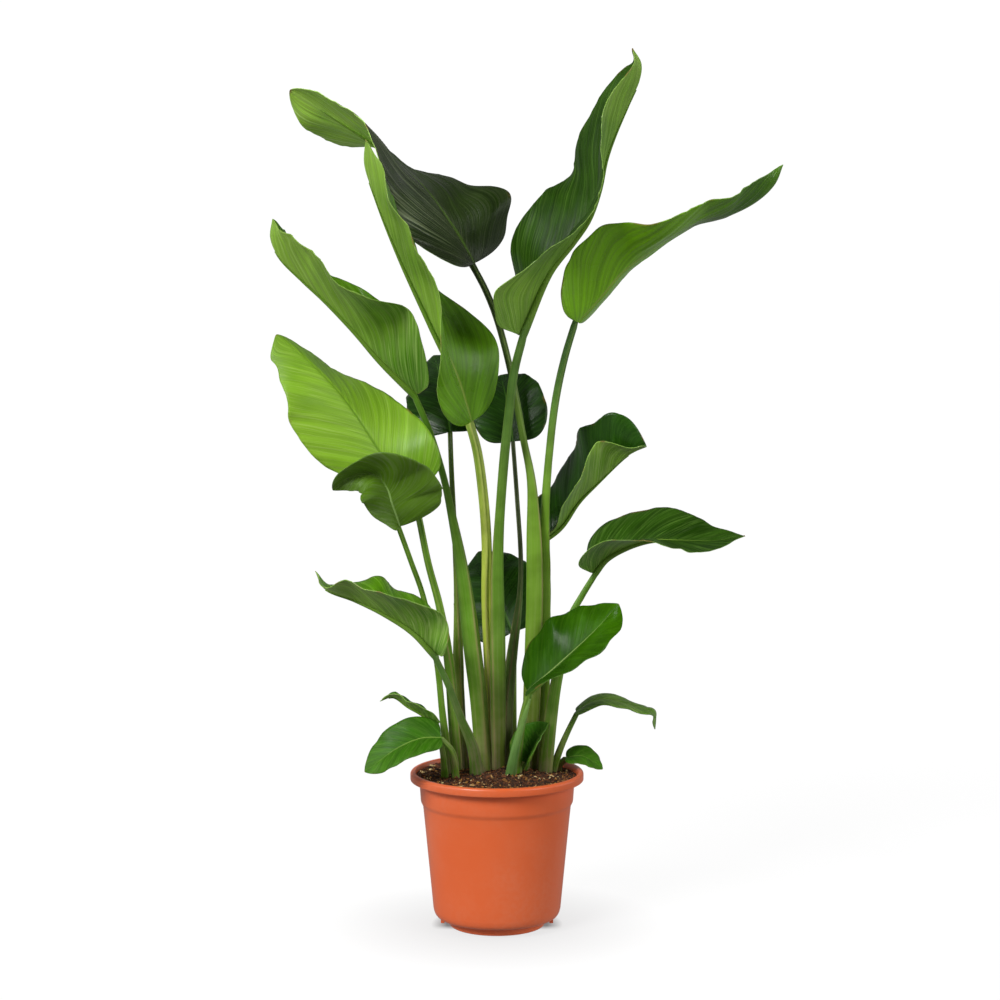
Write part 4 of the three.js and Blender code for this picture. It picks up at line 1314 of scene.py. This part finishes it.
@dataclass
class Studio:
    """A white floor, soft lights and the photograph's camera.

    Its own places and reaches are in metres. lights are (name, where it shines from, strength,
    how wide it looks in degrees).
    """

    camera_place: Point = (0.0042, -3.6, 0.98)
    camera_down: float = 6.12
    camera_lens: float = 95.11
    camera_reach: float = 200.0
    floor_reach: float = 40.0
    floor_drop: float = 0.5
    floor_white: float = 0.1
    floor_glow: float = 0.935
    floor_light: float = 0.2
    foot_shade: float = 0.2
    foot_shade_reach: tuple[float, float] = (0.05, 0.24)
    under_shade: float = 0.75
    under_shade_reach: tuple[float, float] = (0.07, 0.092)
    under_shade_start: tuple[float, float] = (-0.03, -0.01)
    sky_turn: tuple[float, float] = (-0.6, 0.9)
    sky_rise: tuple[float, float] = (0.15, 0.8)
    sky_front: float = 0.1
    sky_behind: float = 0.62
    sky_above: float = 0.4
    sky_gloss: float = 0.5
    sky_seen: float = 1.03
    lights: Sequence[tuple[str, Point, float, float]] = (
        ("key_light", (-1.7, -2.1, 2.0), 2.55, 22),
        ("fill_light", (2.4, -1.7, 1.2), 1.0, 30),
        ("left_panel", (-2.6, -1.2, 0.35), 0.55, 40),
        ("right_panel", (2.6, 0.5, 0.4), 0.45, 40),
    )

    def floor(self) -> None:
        """Lay the floor, whose glow carries a painted shadow: soft round the pot's foot and deeper behind it,
        under the pot's corner.
        """
        reach, level = self.floor_reach / MM, -self.floor_drop
        corners = [(x * reach, y * reach, level) for x, y in ((-1, -1), (1, -1), (1, 1), (-1, 1))]
        piece = build_mesh("studio_floor", np.array(corners), [(0, 1, 2, 3)])
        material, w, shader = new_material("white_floor")
        white = self.floor_white
        for name, value in (("Base Color", (white, white, white, 1)), ("Roughness", 0.9),
                            ("Specular IOR Level", 0.0), ("Emission Color", (1, 1, 1, 1))):
            shader.inputs[name].default_value = value
        place = w.place()
        away = w.add("VectorMath", {0: place}, operation="LENGTH").outputs["Value"]
        # painted shadow: the glow dims round the foot, and behind the front edge it dims further under the
        # pot's corner
        glow = w.ramp(away, *self.foot_shade_reach, self.floor_glow - self.foot_shade, self.floor_glow)
        behind = w.add("SeparateXYZ", {0: place}).outputs["Y"]
        hidden = w.ramp(behind, *self.under_shade_start, 0.0, self.under_shade)
        near = w.ramp(away, *self.under_shade_reach, 1.0, 0.0)
        glow = w.times(glow, w.minus(1.0, w.times(hidden, near)))
        seen = w.add("LightPath").outputs["Is Camera Ray"]
        light = w.add("Mix", {0: seen, 2: self.floor_light, 3: glow}, data_type="FLOAT").outputs[0]
        w.tree.links.new(light, shader.inputs["Emission Strength"])
        piece.data.materials.append(material)

    def sky_light(self) -> None:
        """Surround everything with white, brighter to the camera than to the plant."""
        world = bpy.data.worlds.new("white_studio")
        bpy.context.scene.world = world
        world.use_nodes = True
        w = Wiring(world.node_tree)
        rays = w.add("LightPath").outputs
        seen = rays["Is Camera Ray"]
        way = w.add("SeparateXYZ", {0: w.add("TexCoord").outputs["Generated"]}).outputs
        behind = w.ramp(way[1], *self.sky_turn, self.sky_front, self.sky_behind)
        light = w.times(behind, w.ramp(way[2], *self.sky_rise, 1.0, self.sky_above))
        light = w.times(light, w.spread(rays["Is Glossy Ray"], 1.0, self.sky_gloss))
        strength = w.plus(w.times(light, w.minus(1.0, seen)), w.times(seen, self.sky_seen))
        background = world.node_tree.nodes["Background"]
        background.inputs["Color"].default_value = (1, 1, 1, 1)
        w.tree.links.new(strength, background.inputs["Strength"])

    def hang_lights(self) -> None:
        """Hang the large soft lights, each aimed at the plant."""
        for name, place, strength, softness in self.lights:
            lamp = bpy.data.lights.new(name, "SUN")
            lamp.energy, lamp.angle = strength, math.radians(softness)
            holder = bpy.data.objects.new(name, lamp)
            holder.location = place
            holder.rotation_euler = Vector(place).to_track_quat("Z", "Y").to_euler()
            bpy.context.scene.collection.objects.link(holder)

    def camera(self) -> None:
        """Set up the camera."""
        lens = bpy.data.cameras.new("photo_camera")
        lens.lens, lens.sensor_width, lens.clip_end = self.camera_lens, 36.0, self.camera_reach
        holder = bpy.data.objects.new("photo_camera", lens)
        holder.location = self.camera_place
        holder.rotation_euler = (math.radians(90 - self.camera_down), 0, 0)
        bpy.context.scene.collection.objects.link(holder)
        bpy.context.scene.camera = holder

    def build(self) -> None:
        """Set up the whole studio."""
        self.camera()
        self.floor()
        self.sky_light()
        self.hang_lights()
        bpy.context.scene.view_settings.view_transform = "Standard"
        LOG.info("studio: one floor, four lights and the camera")


LEAVES: tuple[Leaf, ...] = (
    Leaf(
        "leaf_01", 90, slot="leaf_dark", stalk_width=9, stalk_top=5, columns=40,
        stalk=((45, 14, 205), (48, -3, 317), (52, -6, 456), (52, -4, 539), (48, 2, 619), (36, 18, 680),
               (19, 36, 769), (0, 54, 840), (-16, 62, 880)),
        midrib=((-31, 66, 916), (-62, 68, 968), (-100, 68, 1020), (-134, 66, 1051), (-166, 66, 1077),
                (-226, 62, 1116), (-284, 60, 1152)),
        right=(-45, -24, -66, -90, -92, -112, -126, -140, -140),
        left=(70, 52, 48, 62, 90, 104, 110, 115, 120),
        widths=(11, 11.5, 12, 12, 11.5, 6, 5, 4.8, 4.6), groove=120,
        bites=((1, 0.03, -0.1, 0.03), (1, 0.13, -0.2, 0.045), (1, 0.21, 0.1, 0.03),
               (1, 0.3, -0.12, 0.06)),
        fullness=0.26, point=0.65, lobe=0.01, pleat=1.5, ragged=2.5, vein_lead=0.42,
        upper=NIGHT, under=LIGHTENED_BACK, petiole=DARK_STALK, tones=(0.2, 0.3, 0.4, 0.5),
    ),
    Leaf(
        "leaf_02", 82, slot="leaf_bright", stalk_width=6, stalk_top=6, columns=34,
        stalk=((-6, 24, 205), (-8, 8, 315), (-14, -6, 457), (-14, -14, 534), (-18, -18, 596),
               (-27, -20, 664)),
        midrib=((-34, -22, 704), (-55, -34, 770), (-87, -50, 838), (-129, -72, 928), (-159, -90, 1002),
                (-174, -98, 1049), (-172, -102, 1081)),
        right=(-40, -35, -57, -76, -73, -70, -69, -65, -60),
        left=(55, 65, 92, 109, 113, 113, 115, 140, 150),
        widths=(9, 9, 8.5, 8, 7.5, 7.2, 7, 6.8, 6.2),
        bites=((1, 0.16, -0.1, 0.05), (1, 0.3, 0.08, 0.05), (1, 0.45, -0.06, 0.05)),
        lobe=0, pleat=1.3, vein_lead=0.28,
        upper=GRASS, petiole=BRIGHT_STALK, tones=(0.7, 0.7, 0.6, 0.8),
    ),
    Leaf(
        "leaf_03", 58, slot="leaf_dark", stalk_width=8, stalk_top=3.5, rows=110, columns=16,
        stalk=((-47, 16, 205), (-53, 22, 315), (-55, 44, 454), (-59, 62, 537), (-64, 80, 634)),
        midrib=((-66, 92, 680), (-72, 124, 722), (-82, 172, 755), (-92, 228, 780)),
        right=(-10, -10, -10, -10), left=(-10, -10, -10, -10),
        widths=(10, 10, 9.5, 8, 6, 4.5, 3.8, 3.6, 3.5),
        upper=DEEP, under=SOFT_BACK, petiole=OLIVE_STALK, tones=(0.2, 0.3),
    ),
    Leaf(
        "leaf_04", 86, stalk_width=7, stalk_top=5.5, columns=40,
        stalk=((2, 6, 205), (1, -12, 319), (0, -16, 430), (0, -18, 513), (8, -22, 637), (15, -24, 706),
               (23, -26, 771)),
        midrib=((31, -28, 821), (68, -25, 905), (100, -22, 945), (122, -20, 976), (137, -20, 1016),
                (146, -20, 1056), (158, -20, 1089), (176, -20, 1129), (191, -20, 1162),
                (193, -22, 1184), (181, -25, 1204)),
        right=(140, 127, 102, 95, 90, 104, 120, 128, 124),
        left=(-85, -73, -32, -36, -58, -54, -44, -32, -15),
        widths=(10, 10, 11, 11.5, 9.8, 7.4, 7, 6.6, 5.8), groove=-75,
        bites=((1, 0.1, -0.25, 0.035), (1, 0.2, 0.22, 0.05), (1, 0.36, -0.08, 0.05),
               (-1, 0.97, 0.5, 0.05)),
        point=0.74, sweep=0.05, pleat=1.5, vein_lead=0.35,
        upper=FOREST, petiole=PALE_STALK, tones=(0.6, 0.3, 0.4, 0.7),
    ),
    Leaf(
        "leaf_05", 76, slot="leaf_bright", stalk_width=8, stalk_top=4.5, columns=34,
        stalk=((61, 26, 205), (64, 14, 315), (65, 10, 454), (66, 10, 565), (73, 12, 662), (81, 14, 731),
               (93, 16, 788)),
        midrib=((111, 18, 836), (143, 12, 872), (171, 6, 905), (214, 0, 937), (264, -2, 968),
                (312, -4, 981), (352, -2, 1001), (376, 0, 1024), (387, 2, 1050)),
        right=(-80, -84, -86, -88, -90, -95, -105, -115, -120),
        left=(55, 20, 30, 63, 76, 62, 52, 40, 30),
        widths=(9, 9, 9, 9, 8.5, 6.6, 5.9, 5.6, 5), groove=170,
        bites=((-1, 0.1, -0.04, 0.06), (-1, 0.175, -0.07, 0.035), (-1, 0.25, -0.07, 0.03),
               (-1, 0.35, 0.06, 0.025)),
        pleat=1.6, buckle=3.0, ragged=2.5, vein_lead=0.3,
        upper=SHINY, petiole=SHEATH_STALK, tones=(1.2, 1.1, 0.8, 0.0, 0.6),
    ),
    Leaf(
        "leaf_06", 85, slot="leaf_bright", stalk_width=7, stalk_top=4.5,
        stalk=((-55, 2, 205), (-60, -16, 306), (-66, -28, 377), (-78, -42, 453), (-93, -51, 513),
               (-104, -54, 569)),
        midrib=((-112, -54, 609), (-154, -54, 660), (-182, -54, 703), (-212, -52, 744),
                (-251, -49, 784), (-297, -46, 822)),
        right=(0, 0, -29, -52, -72, -82, -84, -80, -75), left=(15, 15, 15, 15, 20, 25, 25, 10, 0),
        widths=(9, 9, 8.5, 7.5, 6, 5, 4.6, 4.5), left_share=0.94,
        bites=((-1, 0.1, 0.5, 0.14), (-1, 0.5, -0.1, 0.16), (-1, 0.95, -0.6, 0.06),
               (1, 0.28, 0.16, 0.16)),
        pleat=1.2,
        upper=SPRING, tones=(0.4, 0.9, 0.8, 0.6),
    ),
    Leaf(
        "leaf_07", 72, slot="leaf_bright", stalk_width=11, stalk_top=5, columns=34,
        stalk=((-18, 6, 205), (-25, -10, 319), (-33, -10, 388), (-41, -4, 456), (-49, 2, 511),
               (-61, 10, 571), (-73, 16, 625), (-92, 20, 687)),
        midrib=((-109, 18, 738), (-155, 10, 783), (-193, 4, 826), (-232, -2, 866), (-263, -6, 894),
                (-295, -10, 926), (-306, -12, 952), (-303, -12, 977)),
        right=(-60, -35, -28, -38, -66, -66, -60, -50, -50),
        left=(130, 139, 150, 124, 118, 122, 130, 128, 120),
        widths=(12, 12, 12, 12.8, 12, 8.8, 6, 5.2, 5), groove=70,
        bites=((-1, 0.22, -0.34, 0.18), (-1, 0.02, 0.1, 0.05), (-1, 0.6, -0.16, 0.08),
               (-1, 0.82, -0.25, 0.1), (1, 0.35, 0.18, 0.25)),
        point=0.6, pleat=1.3, ragged=0.6, vein_lead=0.3,
        upper=GRASS, tones=(0.1, 0.5, 0.9, 1.2),
    ),
    Leaf(
        "leaf_08", 54, slot="leaf_dark", stalk_width=8, stalk_top=3, rows=110, columns=16,
        stalk=((12, 24, 205), (15, 12, 315), (22, 14, 384), (31, 22, 452), (33, 28, 507), (28, 36, 590)),
        midrib=((22, 42, 671), (19, 56, 698), (12, 82, 732), (5, 122, 758)),
        right=(0, 10, 10, 10), left=(0, 10, 10, 10),
        widths=(8, 8.5, 8.5, 8, 6.2, 3.6, 3.2, 3.1, 3), groove=-60,
        upper=DEEP, under=SOFT_BACK, petiole=GREY_STALK, tones=(0.2, 0.3),
    ),
    Leaf(
        "leaf_09", 72, slot="leaf_dark", stalk_width=6, stalk_top=3.5,
        stalk=((-65, -8, 205), (-74, -26, 301), (-82, -34, 376), (-100, -46, 467), (-116, -66, 518)),
        midrib=((-130, -84, 567), (-140, -94, 598), (-147, -97, 621), (-160, -97, 637),
                (-184, -95, 639), (-204, -93, 630), (-219, -91, 617)),
        right=(0, 5, 5, 20, 42, 56, 60, 60, 60), left=(80, 48, 40, 50, 50, 40, 30, 10, 0),
        left_share=0.55,
        bites=((1, 0.75, 0.35, 0.2), (-1, 0.1, 0.3, 0.1), (-1, 0.42, -0.4, 0.1), (1, 0.06, -0.08, 0.06)),
        lobe=0, sweep=0.02,
        upper=DULL, under=SOFT_BACK, tones=(0.5, 0.4, 0.3),
    ),
    Leaf(
        "leaf_10", 64, stalk_width=9, stalk_top=5,
        stalk=((-27, -20, 205), (-33, -46, 258), (-48, -74, 304), (-64, -102, 354)),
        midrib=((-79, -118, 400), (-111, -124, 433), (-151, -124, 457), (-188, -120, 473),
                (-230, -114, 488), (-242, -107, 510)),
        right=(-80, -60, -60, -62, -56, -70, -80, -80, -80),
        left=(100, 138, 132, 120, 118, 122, 108, 105, 100),
        widths=(12, 12, 10, 8, 7, 6, 5.5, 5, 4.5),
        upper=GRASS, petiole=SOFT_STALK, tones=(0.2, 0.35, 0.5, 0.7),
    ),
    Leaf(
        "leaf_11", 74, slot="leaf_dark", stalk_width=6, stalk_top=4.5,
        stalk=((51, 42, 205), (54, 46, 310), (58, 62, 420)),
        midrib=((61, 80, 528), (87, 80, 548), (113, 78, 584), (138, 74, 609), (177, 69, 645),
                (192, 66, 655), (208, 64, 662)),
        right=(100, 100, 105, 108, 112, 130, 140, 130, 120),
        left=(0, -30, -54, -54, -38, -18, -5, 0, 0),
        bites=((1, 0.92, 0.7, 0.16), (-1, 0.9, -0.25, 0.1)),
        point=0.4,
        upper=DEEP, tones=(0.4, 0.6, 0.6),
    ),
    Leaf(
        "leaf_12", 66, stalk_width=8, stalk_top=4.5,
        stalk=((65, 2, 205), (77, -8, 318), (83, -8, 353), (100, -6, 431), (117, -3, 463)),
        midrib=((131, 0, 493), (148, -2, 514), (176, -6, 530), (210, -10, 540), (250, -12, 540),
                (299, -10, 539), (340, -5, 545)),
        right=(130, 120, 105, 95, 80, 77, 76, 85, 90),
        left=(-75, -60, -58, -56, -45, -51, -52, -45, -40),
        widths=(11, 11, 11, 10, 9, 8, 6, 5, 4.5),
        bites=((1, 0.2, -0.15, 0.04), (1, 0.32, 0.22, 0.04), (1, 0.42, -0.2, 0.04), (1, 0.5, 0.2, 0.04)),
        point=1.1, ripple=1.2, ragged=1.5,
        upper=FOREST, tones=(0.2, 0.3, 0.3),
    ),
    Leaf(
        "leaf_13", 62, slot="leaf_dark", stalk_width=7, stalk_top=5,
        stalk=((26, -14, 205), (32, -36, 282)),
        midrib=((41, -46, 338), (65, -50, 358), (90, -54, 381), (137, -60, 427), (165, -62, 459)),
        right=(90, 94, 88, 82, 75, 72, 65, 38, 0), left=(-60, -45, -40, -36, -42, -45, -48, -54, -60),
        bites=((1, 0.7, -0.25, 0.15),),
        pleat=0.5,
        upper=GLOSSY, under=SOFT_BACK, tones=(0.0, 0.2, 0.5),
    ),
    Leaf(
        "leaf_14", 64, slot="leaf_dark", stalk_width=6, stalk_top=4.5, rows=110, columns=16,
        stalk=((21, 46, 205), (22, 54, 308)),
        midrib=((22, 74, 399), (8, 98, 430), (-11, 140, 468), (-27, 192, 498)),
        right=(-10, -10, -10, -10), left=(-10, -10, -10, -10),
        bites=((-1, 0.6, -0.12, 0.3),),
        upper=DEEP, under=SOFT_BACK, tones=(0.4, 0.5),
    ),
    Leaf(
        "leaf_15", 26, stalk_width=6, stalk_top=3, rows=70, columns=10,
        stalk=((76, 20, 205), (85, 10, 239), (97, 5, 269)),
        midrib=((109, 3, 300), (129, 0, 313), (148, -3, 318), (170, -6, 314), (197, -8, 306),
                (214, -9, 300), (218, -10, 277)),
        right=(75, 80, 80, 65), left=(-85, -86, -86, -75),
        ripple=1.0, pleat=0.4, buckle=0.4,
        upper=PALE_BACK, under=SOFT_BACK, tones=(0.3, 0.4),
    ),
    Leaf(
        "leaf_16", 20, stalk_width=4, stalk_top=2.5, rows=60, columns=10,
        stalk=((84, 32, 205), (88, 28, 220)),
        midrib=((96, 24, 231), (120, 20, 233), (147, 14, 216)),
        right=(70, 66, 66), left=(-55, -55, -60),
        ripple=0.6, pleat=0.4, buckle=0.4,
        upper=PLAIN, tones=(0.5, 0.6),
    ),
    Leaf(
        "leaf_17", 22, stalk_width=4, stalk_top=2.5, rows=70, columns=10,
        stalk=((-71, -26, 205), (-76, -42, 263)),
        midrib=((-83, -48, 291), (-102, -52, 307), (-120, -54, 317), (-141, -54, 330), (-159, -52, 324)),
        right=(-75, -75, -70), left=(130, 120, 120),
        ripple=1.0, pleat=0.4, buckle=0.4,
        upper=PLAIN, tones=(0.3, 0.4),
    ),
    Leaf(
        "leaf_18", 33, stalk_width=5, stalk_top=3, rows=70, columns=12,
        stalk=((-55, -38, 205), (-61, -58, 255)),
        midrib=((-76, -66, 277), (-102, -72, 277), (-132, -78, 266), (-179, -80, 232)),
        right=(-30, -30, -35, -30), left=(60, 62, 55, 30),
        ripple=1.2, pleat=0.5, buckle=0.6,
        upper=PLAIN, tones=(0.4, 0.5),
    ),
    Leaf(
        "leaf_19", 34, stalk_width=3.5, stalk_top=3, rows=60, columns=10,
        stalk=((38, -2, 205), (38, -6, 220)),
        midrib=((40, -10, 230), (53, -12, 256), (70, -14, 287)),
        right=(95, 95, 95), left=(5, -5, -5),
        ripple=0.8, pleat=0.4, buckle=0.5,
        upper=PLAIN, under=SOFT_BACK, tones=(0.4, 0.4),
    ),
)


def main() -> None:
    """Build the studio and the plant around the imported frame."""
    logging.basicConfig(level=logging.INFO, format="%(name)s: %(message)s")
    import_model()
    Studio().build()
    NurseryPot().build()
    Soil().build()
    NewLeaf().build()
    for leaf in LEAVES:
        leaf.build()


if __name__ == "__main__":
    main()
